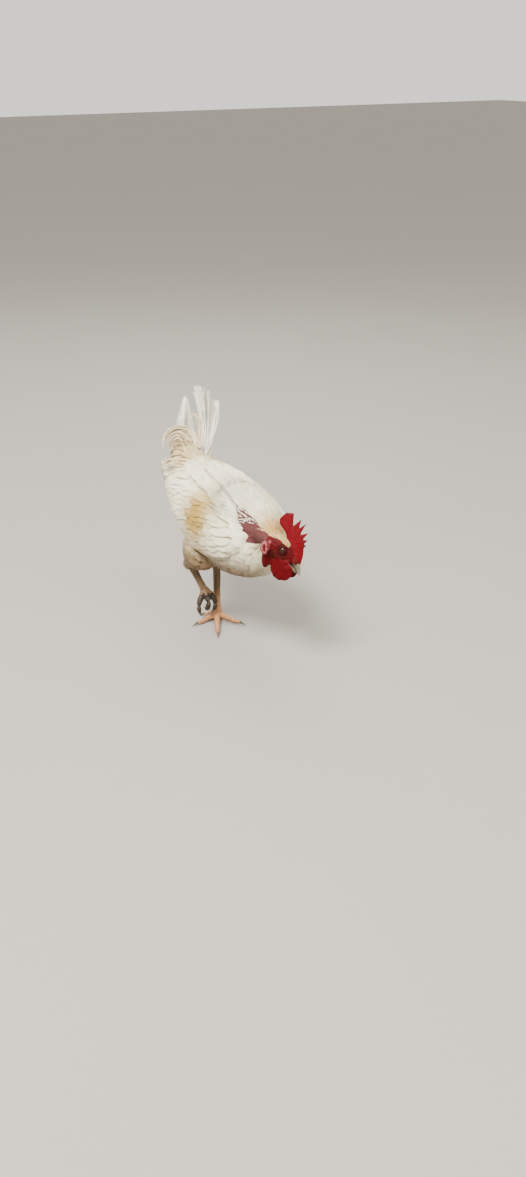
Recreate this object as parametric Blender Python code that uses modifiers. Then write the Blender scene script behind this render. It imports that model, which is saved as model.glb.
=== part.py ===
"""White rooster, life size, walking with its head lowered: one named solid for each part of the body.

The part's frame is in metres: +X is the bird's left, -Y the way it walks, +Z up. Its origin is the
middle of the sole of the standing (left) foot. Places are written as place(forward, left, up).
"""
import math

import bmesh
import bpy
from mathutils import Matrix, Vector

# ---------------------------------------------------------------- driving dimensions
GAP = 0.0003                     # left between two parts that touch
BODY_NAME = "rooster"

HEAD_CENTRE = (0.211, -0.008, 0.193)       # forward, left, up: the point midway between the eyes
HEAD_TURN, HEAD_DROP, HEAD_TILT = 22.0, 36.0, 18.0   # degrees: to its left, down, crown to the left
NECK_JOINT = -0.030              # where the neck meets the skull, along the head's own axis

EYE_RADIUS = 0.0062
EYE_SIDE = 0.0103                # eye's centre from the head's middle plane
EYE_AHEAD, EYE_RAISE = -0.001, 0.002       # and from the head's centre
BEAK_LENGTH = 0.0410             # beak's tip ahead of the eyes
COMB_THICK_BASE, COMB_THICK_EDGE = 0.0095, 0.0030
COMB_VALLEY_FRONT, COMB_VALLEY_REAR = 0.0288, 0.0470
# each point of the comb: its angle above the head's forward axis, its reach from the head's centre
COMB_POINTS = ((57.5, 0.0345), (68.5, 0.0398), (80.5, 0.0468), (95, 0.0540), (105.5, 0.0560))
COMB_LOBE = ((120, 0.0585), (132, 0.0578), (141, 0.0515))    # the blunt lobe behind the points
COMB_TOOTH_FRONT, COMB_TOOTH_REAR = 4.0, 8.5         # half widths of a point, in degrees
COMB_START, COMB_BLADE_END = 0.0, 145.0
COMB_FOOT = 0.0032                   # how much further the blade goes along the bill
COMB_HEEL = (0.0405, 0.0475)      # inner and outer edge of the blade where it ends
WATTLE_DROP, WATTLE_LENGTH = 0.034, 0.041
# down each wattle: share of its drop, share of its length, and how far the bare jowl reaches back behind it
WATTLE_ROWS = ((0.0, 0.40, 0.004), (0.18, 0.76, 0.004), (0.36, 0.94, 0.003), (0.54, 1.0, 0.001),
               (0.70, 0.94, 0.0), (0.86, 0.74, 0.0), (1.0, 0.30, 0.0))

HOCK_STANDING = (-0.008, 0.006, 0.104)
HOCK_RAISED = (0.000, -0.050, 0.112)
ANKLE_RAISED = (0.001, -0.022, 0.053)
SHANK_RADIUS = 0.0062
TOE_RADIUS = 0.0056
# toe: bearing from straight ahead (+ to the bird's left), reach of toe with claw, of claw alone
STANDING_TOES = {"inner": (-82, 0.055, 0.013), "middle": (-31, 0.082, 0.014),
                 "outer": (23, 0.060, 0.013), "hind": (-144, 0.034, 0.012)}

FEATHER_THICK = 0.0016            # along a tail feather's shaft
FAN_FACES, SICKLES_FACE = (1, 0, 0), (0.5643, 0.8256, 0)     # the ways that their flat sides face

# ---------------------------------------------------------------- scene and materials
for old in list(bpy.data.objects):
    bpy.data.objects.remove(old, do_unlink=True)

parts = bpy.data.collections.new(BODY_NAME)
cutters = bpy.data.collections.new("cutters")
for collection in (parts, cutters):
    bpy.context.scene.collection.children.link(collection)


def material(name, colour, roughness):
    """A Principled material of one colour."""
    made = bpy.data.materials.new(name)
    made.use_nodes = True
    shader = made.node_tree.nodes["Principled BSDF"]
    shader.inputs["Base Color"].default_value = (*colour, 1.0)
    shader.inputs["Roughness"].default_value = roughness
    return made


PLUMAGE = material("plumage", (0.83, 0.79, 0.68), 0.8)
COMB_RED = material("comb_red", (0.62, 0.02, 0.025), 0.45)
FACE_RED = material("face_red", (0.42, 0.05, 0.05), 0.55)
EARLOBE = material("earlobe", (0.72, 0.38, 0.38), 0.6)
EYE = material("eye", (0.20, 0.07, 0.02), 0.1)
HORN = material("horn", (0.72, 0.60, 0.42), 0.4)
LEG_SKIN = material("leg_skin", (0.78, 0.42, 0.26), 0.55)


# ---------------------------------------------------------------- building blocks
def place(forward, left, up):
    """A point of the part's frame from how far ahead, to the left and up it is."""
    return Vector((left, -forward, up))


def new_object(name, mesh, surface, frame=Matrix.Identity(4)):
    """Link a mesh as one part of the bird."""
    made = bpy.data.objects.new(name, mesh)
    made.matrix_world = frame
    mesh.materials.append(surface)
    mesh.shade_smooth()
    parts.objects.link(made)
    return made


def cage_mesh(name, rings):
    """Closed mesh over a row of rings with the same count of points; both ends are capped."""
    shape = bmesh.new()
    rows = [[shape.verts.new(point) for point in ring] for ring in rings]
    count = len(rows[0])
    for near, far in zip(rows, rows[1:]):
        for k in range(count):
            after = (k + 1) % count
            shape.faces.new((near[k], near[after], far[after], far[k]))
    shape.faces.new(list(reversed(rows[0])))
    shape.faces.new(rows[-1])
    bmesh.ops.recalc_face_normals(shape, faces=shape.faces)
    mesh = bpy.data.meshes.new(name)
    shape.to_mesh(mesh)
    shape.free()
    return mesh


def soften(target, level):
    """Subdivision Surface, the same in the viewport and in a render."""
    if level:
        modifier = target.modifiers.new("soft", "SUBSURF")
        modifier.levels = level
        modifier.render_levels = level


def sweep(name, stations, surface, sides=8, level=1, over=(0, 0, 1), frame=Matrix.Identity(4)):
    """A soft body along a row of stations: (centre, half width, reach up, reach down).

    Each ring stands square to the line through the centres, with its top towards `over`.
    """
    fill = 8 / (6 + 2 * math.cos(2 * math.pi / sides)) if level else 1.0
    centres = [Vector(station[0]) for station in stations]
    rings = []
    for k, (centre, width, rise, drop) in enumerate(stations):
        ahead = centres[min(k + 1, len(centres) - 1)] - centres[max(k - 1, 0)]
        across = ahead.cross(Vector(over)).normalized()
        top = across.cross(ahead).normalized()
        ring = []
        for n in range(sides):
            turn = 2 * math.pi * n / sides
            lift = rise if math.sin(turn) > 0 else drop
            offset = across * width * math.cos(turn) + top * lift * math.sin(turn)
            ring.append(Vector(centre) + offset * fill)
        rings.append(ring)
    made = new_object(name, cage_mesh(name, rings), surface, frame)
    soften(made, level)
    return made


def round_stations(centres, radii):
    """Stations of a round body."""
    return [(centre, radius, radius, radius) for centre, radius in zip(centres, radii)]


def evaluated(source):
    """A plain mesh of an object with its modifiers applied."""
    bpy.context.view_layer.update()
    view = bpy.context.evaluated_depsgraph_get()
    return bpy.data.meshes.new_from_object(source.evaluated_get(view))


def grown_cutter(source, gap=GAP):
    """A cutter of the shape of `source`, larger by the gap all over."""
    mesh = evaluated(source)
    shape = bmesh.new()
    shape.from_mesh(mesh)
    normals = [vertex.normal.copy() for vertex in shape.verts]
    for vertex, normal in zip(shape.verts, normals):
        vertex.co += normal * gap
    shape.to_mesh(mesh)
    shape.free()
    return cutter(source.name + "_room", mesh, source.matrix_world.copy())


def cutter(name, mesh, frame=Matrix.Identity(4)):
    """Link a mesh as a cutter, which isn't part of the bird."""
    made = bpy.data.objects.new(name, mesh)
    made.matrix_world = frame
    made.hide_render = True
    made.display_type = "WIRE"
    cutters.objects.link(made)
    return made


def cut(target, *tools):
    """Take each tool's volume away from the target."""
    for tool in tools:
        modifier = target.modifiers.new("cut_by_" + tool.name, "BOOLEAN")
        modifier.operation = "DIFFERENCE"
        modifier.object = tool


def blend(low, high, share):
    """The value `share` of the way from low to high."""
    return low + (high - low) * share


def bump(share):
    """0 at both ends of a stretch and 1 in its middle."""
    return math.sin(math.pi * min(max(share, 0.0), 1.0))


# ---------------------------------------------------------------- trunk and neck
# station: forward, height of the centre, half width, reach up, reach down
TRUNK_LINE = (
    (-0.120, 0.236, 0.018, 0.016, 0.018),
    (-0.104, 0.230, 0.035, 0.034, 0.034),
    (-0.068, 0.216, 0.052, 0.052, 0.054),
    (-0.020, 0.201, 0.062, 0.065, 0.072),
    (0.030, 0.189, 0.067, 0.073, 0.080),
    (0.080, 0.182, 0.066, 0.070, 0.078),
    (0.125, 0.179, 0.057, 0.058, 0.064),
    (0.154, 0.178, 0.043, 0.043, 0.047),
    (0.172, 0.178, 0.023, 0.024, 0.026),
)


def trunk_at(forward):
    """The trunk's section at a place along its line: centre height, half width, reach up and down."""
    for near, far in zip(TRUNK_LINE, TRUNK_LINE[1:]):
        if forward <= far[0]:
            break
    share = min(max((forward - near[0]) / (far[0] - near[0]), 0.0), 1.0)
    return [blend(a, b, share) for a, b in zip(near[1:], far[1:])]


def build_trunk():
    stations = [(place(ahead, 0, height), width, rise, drop)
                for ahead, height, width, rise, drop in TRUNK_LINE]
    return sweep("trunk", stations, PLUMAGE, sides=12)


def build_neck(head_frame):
    joint = head_frame @ Vector((0, -NECK_JOINT, -0.003))
    line = [place(0.045, 0.0, 0.206), place(0.085, 0.0, 0.211), place(0.125, -0.002, 0.213),
            place(0.157, -0.005, 0.212), joint]
    radii = (0.053, 0.052, 0.044, 0.032, 0.0200)
    stations = round_stations(line, radii)
    beyond = joint + (joint - line[-2]) * 0.35
    stations.append((beyond, 0.015, 0.015, 0.015))
    return sweep("neck", stations, PLUMAGE, sides=9)


# ---------------------------------------------------------------- head
def head_axes():
    """The head's frame: X to its left, -Y along the bill, Z through the crown."""
    turn, drop, tilt = (math.radians(a) for a in (HEAD_TURN, HEAD_DROP, HEAD_TILT))
    facing = (Matrix.Rotation(turn, 4, "Z") @ Matrix.Rotation(drop, 4, "X")
              @ Matrix.Rotation(tilt, 4, "Y"))
    return Matrix.Translation(place(*HEAD_CENTRE)) @ facing


def build_head(frame):
    # ahead of the eyes, centre height, half width, reach up, reach down
    profile = ((-0.036, -0.004, 0.0150, 0.0130, 0.0150),
               (-0.027, -0.003, 0.0180, 0.0160, 0.0190),
               (-0.014, -0.001, 0.0175, 0.0170, 0.0195),
               (-0.002, 0.000, 0.0155, 0.0160, 0.0190),
               (0.008, -0.001, 0.0130, 0.0135, 0.0170),
               (0.016, -0.003, 0.0100, 0.0100, 0.0135),
               (0.022, -0.005, 0.0065, 0.0060, 0.0085))
    stations = [(place(ahead, 0, height), width, rise, drop)
                for ahead, height, width, rise, drop in profile]
    return sweep("head", stations, FACE_RED, sides=8, frame=frame)


def build_beak(frame):
    upper = sweep("beak_upper", [
        (place(0.012, 0, 0.0010), 0.0070, 0.0070, 0.0060),
        (place(0.020, 0, -0.0005), 0.0068, 0.0070, 0.0060),
        (place(0.027, 0, -0.0028), 0.0052, 0.0060, 0.0050),
        (place(0.034, 0, -0.0062), 0.0036, 0.0046, 0.0038),
        (place(0.0388, 0, -0.0095), 0.0020, 0.0028, 0.0022),
        (place(BEAK_LENGTH, 0, -0.0125), 0.0008, 0.0010, 0.0010),
    ], HORN, sides=6, frame=frame)
    lower = sweep("beak_lower", [
        (place(0.012, 0, -0.0112), 0.0062, 0.0034, 0.0034),
        (place(0.020, 0, -0.0108), 0.0056, 0.0034, 0.0032),
        (place(0.028, 0, -0.0110), 0.0040, 0.0030, 0.0026),
        (place(0.035, 0, -0.0125), 0.0018, 0.0018, 0.0016),
    ], HORN, sides=6, frame=frame)
    return upper, lower


def comb_reach(angle):
    """How far the comb's edge stands from the head's centre at an angle above the bill's axis."""
    rear = max(0.0, (angle - 40) / (COMB_BLADE_END - 40))
    reach = valley = blend(COMB_VALLEY_FRONT, COMB_VALLEY_REAR, rear ** 1.6)
    reach += COMB_FOOT * max(0.0, 1 - angle / 18)
    for middle, tip in COMB_POINTS:
        width = COMB_TOOTH_FRONT if angle < middle else COMB_TOOTH_REAR
        slope = max(0.0, 1.0 - abs(angle - middle) / width)
        reach = max(reach, blend(valley, tip, slope ** 1.1))
    return reach


def comb_root(angle):
    """The comb's inner edge: inside the skull in front, and free of the nape behind."""
    if angle < 116:
        return 0.0125 + 0.009 * max(0.0, 1 - angle / 50)
    return blend(0.0125, 0.0395, ((angle - 116) / (COMB_BLADE_END - 116)) ** 0.9)


def build_comb(frame):
    angles = [COMB_START + 13 * k for k in range(5)]
    for middle, _ in COMB_POINTS:
        angles += [middle - COMB_TOOTH_FRONT, middle, middle + COMB_TOOTH_REAR * 0.45]
    angles += [COMB_LOBE[0][0] - COMB_TOOTH_FRONT] + [angle for angle, _ in COMB_LOBE] + [COMB_BLADE_END]
    lobe = dict(COMB_LOBE)
    rings = []
    for angle in angles:
        turn = math.radians(angle)
        along = Vector((0, -math.cos(turn), math.sin(turn)))
        root, edge = comb_root(angle), lobe.get(angle) or comb_reach(angle)
        if angle == COMB_BLADE_END:
            root, edge = COMB_HEEL
        ring = []
        for share in (0.0, 0.6, 1.0):
            half = blend(COMB_THICK_BASE, COMB_THICK_EDGE, share ** 0.7) / 2
            ring.append(along * blend(root, edge, share) + Vector((half, 0, 0)))
        mirrored = [Vector((-point.x, point.y, point.z)) for point in reversed(ring)]
        rings.append(ring + mirrored)
    return new_object("comb", cage_mesh("comb", rings), COMB_RED, frame)


def build_face(frame):
    """Eyes, earlobes and wattles, left and right."""
    pieces = {}
    for side, sign in (("left", 1), ("right", -1)):
        ball = bmesh.new()
        bmesh.ops.create_uvsphere(ball, u_segments=10, v_segments=6, radius=EYE_RADIUS)
        mesh = bpy.data.meshes.new("eye_" + side)
        ball.to_mesh(mesh)
        ball.free()
        socket = place(EYE_AHEAD, sign * EYE_SIDE, EYE_RAISE)
        outward = Matrix.Translation(socket) @ Matrix.Rotation(math.pi / 2, 4, "Y")
        pieces["eye_" + side] = new_object("eye_" + side, mesh, EYE, frame @ outward)

        lobe = [(place(-0.0275, sign * 0.0165, -0.006), 0.0035, 0.0030, 0.003),
                (place(-0.0255, sign * 0.0180, -0.010), 0.0070, 0.0040, 0.003),
                (place(-0.0215, sign * 0.0180, -0.016), 0.0080, 0.0040, 0.003),
                (place(-0.0175, sign * 0.0160, -0.022), 0.0040, 0.0030, 0.003)]
        pieces["earlobe_" + side] = sweep("earlobe_" + side, lobe, EARLOBE, level=0,
                                          over=(sign, 0, 0), frame=frame)

        jaw = frame @ place(0.005, sign * 0.0080, -0.0105)
        bill = (frame.to_3x3() @ Vector((0, -1, 0)))
        bill.z = 0
        bill.normalize()
        outside = Vector((0, 0, 1)).cross(bill) * sign * -1
        hang = []
        for share, half, jowl in WATTLE_ROWS:
            drop = Vector((0, 0, -WATTLE_DROP * share))
            lean = outside * -0.004 * share + bill * (0.004 * share - jowl / 2)
            thick = 0.0022 + 0.0012 * bump(share)
            hang.append((jaw + drop + lean, (half * WATTLE_LENGTH + jowl) / 2, thick, thick))
        pieces["wattle_" + side] = sweep("wattle_" + side, hang, COMB_RED, sides=6, over=outside)
    return pieces


def build_throat(frame):
    """The bare skin that hangs between the earlobes, behind the wattles."""
    profile = ((-0.0200, -0.0120, 0.0100, 0.0110, 0.0110),
               (-0.0165, -0.0220, 0.0095, 0.0110, 0.0105),
               (-0.0125, -0.0320, 0.0080, 0.0090, 0.0085),
               (-0.0085, -0.0395, 0.0055, 0.0060, 0.0050),
               (-0.0065, -0.0430, 0.0015, 0.0015, 0.0015))
    stations = [(place(ahead, 0, height), width, rise, drop)
                for ahead, height, width, rise, drop in profile]
    return sweep("throat", stations, FACE_RED, sides=8, over=(0, -1, 0), frame=frame)


# ---------------------------------------------------------------- wings
def build_wing(side, sign, droop):
    """A folded wing: a shell that hugs the flank, from the bend at the breast to the tip by the tail."""
    front, back = 0.152, -0.118
    rings = []
    steps = 8
    for k in range(steps):
        share = k / (steps - 1)
        ahead = blend(front, back, share)
        height, width, rise, drop = trunk_at(max(ahead, -0.100))
        if ahead < -0.100:
            height += 0.003
        full = math.sin(math.pi * min(0.5, 0.12 + share * 1.1)) * (1 - max(0, share - 0.62) * 2.1)
        middle = math.radians(blend(16, 40, share) - droop * bump(share))
        spread = math.radians(44) * full
        thick = 0.0030 + 0.0080 * full
        outer, inner = [], []
        for n in range(5):
            angle = middle + spread * (n / 2 - 1)
            ridge = thick * (0.35 + 0.65 * bump(n / 4 * 0.92 + 0.08))
            for rows, extra in ((outer, ridge), (inner, -0.006)):
                lift = rise if math.sin(angle) > 0 else drop
                rows.append(Vector((sign * (width + extra) * math.cos(angle), -ahead,
                                    height + (lift + extra) * math.sin(angle))))
        rings.append(outer + inner[::-1])
    made = new_object("wing_" + side, cage_mesh("wing_" + side, rings), PLUMAGE)
    soften(made, 1)
    return made


# ---------------------------------------------------------------- tail
def build_tail_root():
    """The saddle's rise from the back into the tail."""
    line = [place(-0.030, 0, 0.214), place(-0.055, -0.001, 0.236), place(-0.076, -0.002, 0.256),
            place(-0.090, -0.003, 0.273), place(-0.096, -0.003, 0.285)]
    stations = [(line[0], 0.044, 0.030, 0.044), (line[1], 0.040, 0.028, 0.036),
                (line[2], 0.033, 0.025, 0.027), (line[3], 0.025, 0.018, 0.018),
                (line[4], 0.015, 0.011, 0.010)]
    return sweep("tail_root", stations, PLUMAGE, over=(0, 1, 0))


def feather(name, path, widths, facing=FAN_FACES):
    """A tail feather: a thin vane along a path from root to tip, as wide as said at root, middle and tip."""
    root, middle, tip = widths
    stations = []
    for k, spot in enumerate(path):
        share = 2 * k / (len(path) - 1)
        width = blend(root, middle, share) if share < 1 else blend(middle, tip, share - 1)
        stations.append((place(*spot), width / 2, FEATHER_THICK / 2, FEATHER_THICK / 2))
    return sweep(name, stations, PLUMAGE, sides=4, level=0, over=facing)


# each tail feather: its path (forward, left, up) from the root, and its widths
TAIL_FEATHERS = {
    "tail_feather_1": (((-0.0665, 0.0215, 0.262), (-0.0615, 0.0290, 0.283), (-0.0622, 0.0362, 0.3043),
                        (-0.0625, 0.0410, 0.3209), (-0.0620, 0.0432, 0.3380), (-0.0610, 0.0451, 0.3563)),
                       (0.004, 0.010, 0.010)),
    "tail_feather_2": (((-0.0715, 0.0265, 0.262), (-0.0690, 0.0302, 0.282), (-0.0695, 0.0328, 0.3031),
                        (-0.0690, 0.0360, 0.3199), (-0.0680, 0.0385, 0.3373), (-0.0670, 0.0400, 0.3562)),
                       (0.004, 0.008, 0.010)),
    "tail_feather_3": (((-0.0745, 0.0232, 0.262), (-0.0715, 0.0272, 0.280), (-0.0715, 0.0298, 0.3030),
                        (-0.0715, 0.0316, 0.3271), (-0.0710, 0.0322, 0.3485), (-0.0700, 0.0325, 0.3708)),
                       (0.005, 0.009, 0.015)),
    "tail_feather_4": (((-0.0765, 0.0202, 0.262), (-0.0738, 0.0244, 0.280), (-0.0742, 0.0270, 0.3027),
                        (-0.0742, 0.0288, 0.3268), (-0.0735, 0.0282, 0.3483), (-0.0730, 0.0255, 0.3760)),
                       (0.005, 0.009, 0.016)),
    "tail_feather_5": (((-0.0785, 0.0172, 0.262), (-0.0767, 0.0214, 0.280), (-0.0772, 0.0241, 0.3024),
                        (-0.0772, 0.0258, 0.3265), (-0.0770, 0.0234, 0.3463), (-0.0765, 0.0166, 0.3808)),
                       (0.005, 0.009, 0.014)),
    "tail_feather_6": (((-0.0920, 0.0080, 0.264), (-0.0960, 0.0140, 0.2843), (-0.1000, 0.0164, 0.3031),
                        (-0.1020, 0.0165, 0.3223), (-0.1030, 0.0142, 0.3370), (-0.1040, 0.0124, 0.3521)),
                       (0.007, 0.011, 0.006)),
    "tail_feather_7": (((-0.0960, 0.0000, 0.268), (-0.1050, 0.0022, 0.284), (-0.1095, 0.0014, 0.3032),
                        (-0.1115, 0.0048, 0.3218), (-0.1125, 0.0102, 0.3373), (-0.1130, 0.0140, 0.3543)),
                       (0.010, 0.018, 0.008)),
}
SICKLES = {
    "sickle_1": (((-0.0790, 0.0030, 0.262), (-0.0785, 0.0085, 0.2778), (-0.0810, 0.0129, 0.2857),
                  (-0.0840, 0.0149, 0.2935), (-0.0880, 0.0114, 0.3015), (-0.0930, 0.0024, 0.3086),
                  (-0.0980, -0.0099, 0.3116), (-0.1020, -0.0218, 0.3079), (-0.1050, -0.0302, 0.2997),
                  (-0.1070, -0.0340, 0.2881), (-0.1080, -0.0320, 0.2747)), (0.004, 0.006, 0.003)),
    "sickle_2": (((-0.0820, -0.0010, 0.262), (-0.0825, 0.0021, 0.2777), (-0.0850, 0.0040, 0.2861),
                  (-0.0890, -0.0003, 0.2958), (-0.0940, -0.0092, 0.3019), (-0.0980, -0.0178, 0.3006),
                  (-0.1010, -0.0240, 0.2929), (-0.1030, -0.0259, 0.2828), (-0.1040, -0.0219, 0.2720)),
                 (0.003, 0.005, 0.003)),
    "sickle_3": (((-0.0860, -0.0060, 0.264), (-0.0868, -0.0048, 0.2776), (-0.0885, -0.0046, 0.2838),
                  (-0.0920, -0.0085, 0.2904), (-0.0950, -0.0133, 0.2925), (-0.0980, -0.0172, 0.2866),
                  (-0.0990, -0.0185, 0.2797), (-0.1000, -0.0165, 0.2712)), (0.003, 0.005, 0.003)),
    "sickle_4": (((-0.0770, 0.0110, 0.262), (-0.0765, 0.0160, 0.2805), (-0.0774, 0.0205, 0.3038),
                  (-0.0794, 0.0205, 0.3180), (-0.0814, 0.0174, 0.3289), (-0.0834, 0.0121, 0.3331),
                  (-0.0854, 0.0066, 0.3296)), (0.004, 0.005, 0.003)),
}


# ---------------------------------------------------------------- legs
def build_thigh(side, hip, hock):
    start, end = place(*hip), place(*hock)
    stations = []
    for share, radius in ((0.0, 0.038), (0.3, 0.037), (0.6, 0.027), (0.85, 0.015), (1.0, 0.0090)):
        stations.append((start.lerp(end, share), radius * 0.9, radius, radius))
    return sweep("thigh_" + side, stations, PLUMAGE, over=(0, -1, 0))


def build_shank(side, hock, ankle):
    start, end = place(*hock), place(*ankle)
    down = (end - start).normalized()
    radii = ((-0.10, 0.0060), (-0.03, 0.0084), (0.06, 0.0080), (0.2, 0.0064),
             (0.55, SHANK_RADIUS - 0.0004), (0.85, SHANK_RADIUS), (0.97, 0.0088), (1.05, 0.0092),
             (1.14, 0.0084))
    stations = []
    for share, radius in radii:
        centre = start + down * (end - start).length * share
        stations.append((centre, radius, radius * 1.1, radius * 1.1))
    return sweep("shank_" + side, stations, LEG_SKIN, sides=10, level=0, over=(0, -1, 0))


def build_spur(side, sign, hock, ankle):
    """The short horn on the inner back of the shank."""
    start, end = place(*hock), place(*ankle)
    root = start.lerp(end, 0.66)
    way = Vector((-0.45 * sign, 0.88, -0.12)).normalized()
    stations = [(root + way * reach, radius, radius, radius)
                for reach, radius in ((0.002, 0.0036), (0.007, 0.0034), (0.011, 0.0022), (0.0135, 0.0008))]
    return sweep("spur_" + side, stations, HORN, sides=7, level=0)


def build_toe(name, path, tip_radius=0.0036):
    """A toe along a path, swollen at its joints."""
    count = len(path)
    stations = []
    for k, centre in enumerate(path):
        share = k / (count - 1)
        radius = blend(TOE_RADIUS, tip_radius, share) * (1.0 + 0.10 * math.cos(share * 6 * math.pi))
        if share == 1:
            radius *= 0.7
        stations.append((centre, radius, radius * 0.95, radius))
    return sweep(name, stations, LEG_SKIN, sides=7, level=0)


def build_claw(name, start, direction, length, curl):
    """A curved horn, round at its root and pointed."""
    stations = []
    for share, radius in ((-0.25, 0.0018), (0.0, 0.0023), (0.35, 0.0020), (0.7, 0.0013), (1.0, 0.0005)):
        centre = start + direction * length * share + Vector(curl) * share ** 2
        stations.append((centre, radius * 0.85, radius, radius))
    return sweep(name, stations, HORN, sides=6, level=0)


def standing_foot():
    """The toes spread on the floor, each a row of points along its bearing."""
    made = {}
    for name, (bearing, reach, claw) in STANDING_TOES.items():
        turn = math.radians(bearing)
        way = place(math.cos(turn), math.sin(turn), 0)
        bone = reach - claw
        path = []
        for k in range(8):
            share = k / 7
            rise = 0.0060 * (1 - share) ** 2 + 0.0042 + 0.0005 * math.cos(share * 4 * math.pi)
            path.append(way * blend(0.004, bone, share) + Vector((0, 0, rise)))
        toe = build_toe("toe_left_" + name, path)
        horn = build_claw("claw_left_" + name, way * (bone - 0.001) + Vector((0, 0, 0.0046)), way, claw,
                          (0, 0, -0.0038))
        made[name] = (toe, horn)
    return made


# raised toe: bearing as above, and how far it has curled under at the tip, in degrees
RAISED_TOES = {"inner": (42, 112, 0.032), "middle": (-14, 168, 0.038),
               "outer": (-72, 108, 0.034), "hind": (168, 48, 0.022)}


def raised_foot(ankle):
    """The toes of the lifted foot, folded together under it."""
    made = {}
    for name, (bearing, curl, reach) in RAISED_TOES.items():
        turn = math.radians(bearing)
        way = place(math.cos(turn), math.sin(turn), 0)
        point = ankle + way * 0.007 - Vector((0, 0, 0.001))
        path = [point.copy()]
        steps = 7
        for k in range(steps):
            bend = math.radians(blend(40, curl, k / (steps - 1)))
            point = point + (way * math.cos(bend) - Vector((0, 0, 1)) * math.sin(bend)) * reach / steps
            path.append(point.copy())
        toe = build_toe("toe_right_" + name, path)
        heading = (path[-1] - path[-2]).normalized()
        horn = build_claw("claw_right_" + name, path[-1] - heading * 0.001, heading, 0.011, way * -0.003)
        made[name] = (toe, horn)
    return made


# toes whose roots would run into each other: the second of each pair gives way
TOES_THAT_CROWD = {"left": (("inner", "middle"), ("middle", "outer"), ("inner", "hind")),
                    "right": (("inner", "middle"), ("middle", "outer"))}


def floor_cutter():
    block = bmesh.new()
    bmesh.ops.create_cube(block, size=0.4)
    mesh = bpy.data.meshes.new("floor_block")
    block.to_mesh(mesh)
    block.free()
    return cutter("floor_block", mesh, Matrix.Translation((0, 0, -0.2)))


# ---------------------------------------------------------------- assembly
def build_rooster():
    head_frame = head_axes()
    floor_block = floor_cutter()

    trunk = build_trunk()
    trunk_room = grown_cutter(trunk)
    neck = build_neck(head_frame)
    neck_room = grown_cutter(neck)
    cut(neck, trunk_room)

    eyes_and_lobes = build_face(head_frame)
    beaks = build_beak(head_frame)
    head = build_head(head_frame)
    head_room = grown_cutter(head)
    cut(head, neck_room)
    for side in ("left", "right"):
        cut(head, grown_cutter(eyes_and_lobes["eye_" + side]))
    upper, lower = beaks
    cut(lower, grown_cutter(upper))
    for beak in beaks:
        cut(head, grown_cutter(beak))
    comb = build_comb(head_frame)
    cut(comb, head_room, neck_room, grown_cutter(upper))
    throat = build_throat(head_frame)
    for side in ("left", "right"):
        wattle = eyes_and_lobes["wattle_" + side]
        cut(throat, grown_cutter(eyes_and_lobes["earlobe_" + side]), grown_cutter(wattle))
        cut(neck, grown_cutter(eyes_and_lobes["earlobe_" + side]))
        cut(eyes_and_lobes["earlobe_" + side], head_room)
        cut(wattle, head_room, grown_cutter(lower))
    cut(throat, head_room, neck_room, trunk_room)

    tail_root = build_tail_root()
    cut(tail_root, trunk_room)
    root_room = grown_cutter(tail_root)
    for table, facing in ((TAIL_FEATHERS, FAN_FACES), (SICKLES, SICKLES_FACE)):
        for name, (path, widths) in table.items():
            cut(feather(name, path, widths, facing), root_room)

    wing_rooms = {}
    for side, sign, droop in (("left", 1, 4), ("right", -1, 12)):
        wing = build_wing(side, sign, droop)
        wing_rooms[side] = grown_cutter(wing)
        cut(wing, trunk_room, neck_room, root_room)

    legs = (("left", (0.035, 0.036, 0.150), HOCK_STANDING, (0.0, 0.0, 0.010)),
            ("right", (0.040, -0.046, 0.152), HOCK_RAISED, ANKLE_RAISED))
    for side, hip, hock, ankle in legs:
        thigh = build_thigh(side, hip, hock)
        thigh_room = grown_cutter(thigh)
        cut(thigh, trunk_room)
        if side == "right":
            cut(thigh, wing_rooms[side])
        shank = build_shank(side, hock, ankle)
        cut(shank, thigh_room)
        if side == "left":
            cut(shank, floor_block)
        toes = standing_foot() if side == "left" else raised_foot(place(*ankle))
        for under, beside in TOES_THAT_CROWD[side]:
            cut(toes[beside][0], grown_cutter(toes[under][0]))
        shank_room = grown_cutter(shank)
        cut(build_spur(side, 1 if side == "left" else -1, hock, ankle), shank_room)
        for name, (toe, horn) in toes.items():
            cut(toe, shank_room)
            if side == "left":
                cut(toe, floor_block)
            cut(horn, grown_cutter(toe))


build_rooster()
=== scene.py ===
"""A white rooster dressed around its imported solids: one skin, the feathers over it, horn, eyes and scales.

In the shared frame +X is the bird's left, -Y the way it walks and +Z up, in metres. Places on the body
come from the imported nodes; the head has a frame of its own, worked out from its eyes and its bill.
"""

import math

import bmesh
import bpy
import numpy as np
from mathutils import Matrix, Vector, noise
from mathutils.bvhtree import BVHTree


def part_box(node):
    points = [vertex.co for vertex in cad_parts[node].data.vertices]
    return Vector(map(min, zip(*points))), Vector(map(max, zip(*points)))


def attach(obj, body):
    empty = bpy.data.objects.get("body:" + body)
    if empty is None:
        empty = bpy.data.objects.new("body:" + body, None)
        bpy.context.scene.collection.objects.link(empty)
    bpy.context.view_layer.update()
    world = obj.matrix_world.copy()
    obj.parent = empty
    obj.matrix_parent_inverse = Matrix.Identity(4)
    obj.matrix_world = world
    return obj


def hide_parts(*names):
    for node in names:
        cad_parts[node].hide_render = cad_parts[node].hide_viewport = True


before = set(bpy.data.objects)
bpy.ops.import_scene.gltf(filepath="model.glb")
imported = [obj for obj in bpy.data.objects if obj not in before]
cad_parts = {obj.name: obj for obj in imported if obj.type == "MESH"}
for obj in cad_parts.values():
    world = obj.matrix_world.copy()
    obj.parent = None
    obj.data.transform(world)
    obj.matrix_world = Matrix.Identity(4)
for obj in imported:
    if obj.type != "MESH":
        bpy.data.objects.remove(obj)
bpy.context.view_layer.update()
rng = np.random.default_rng(11)

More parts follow.
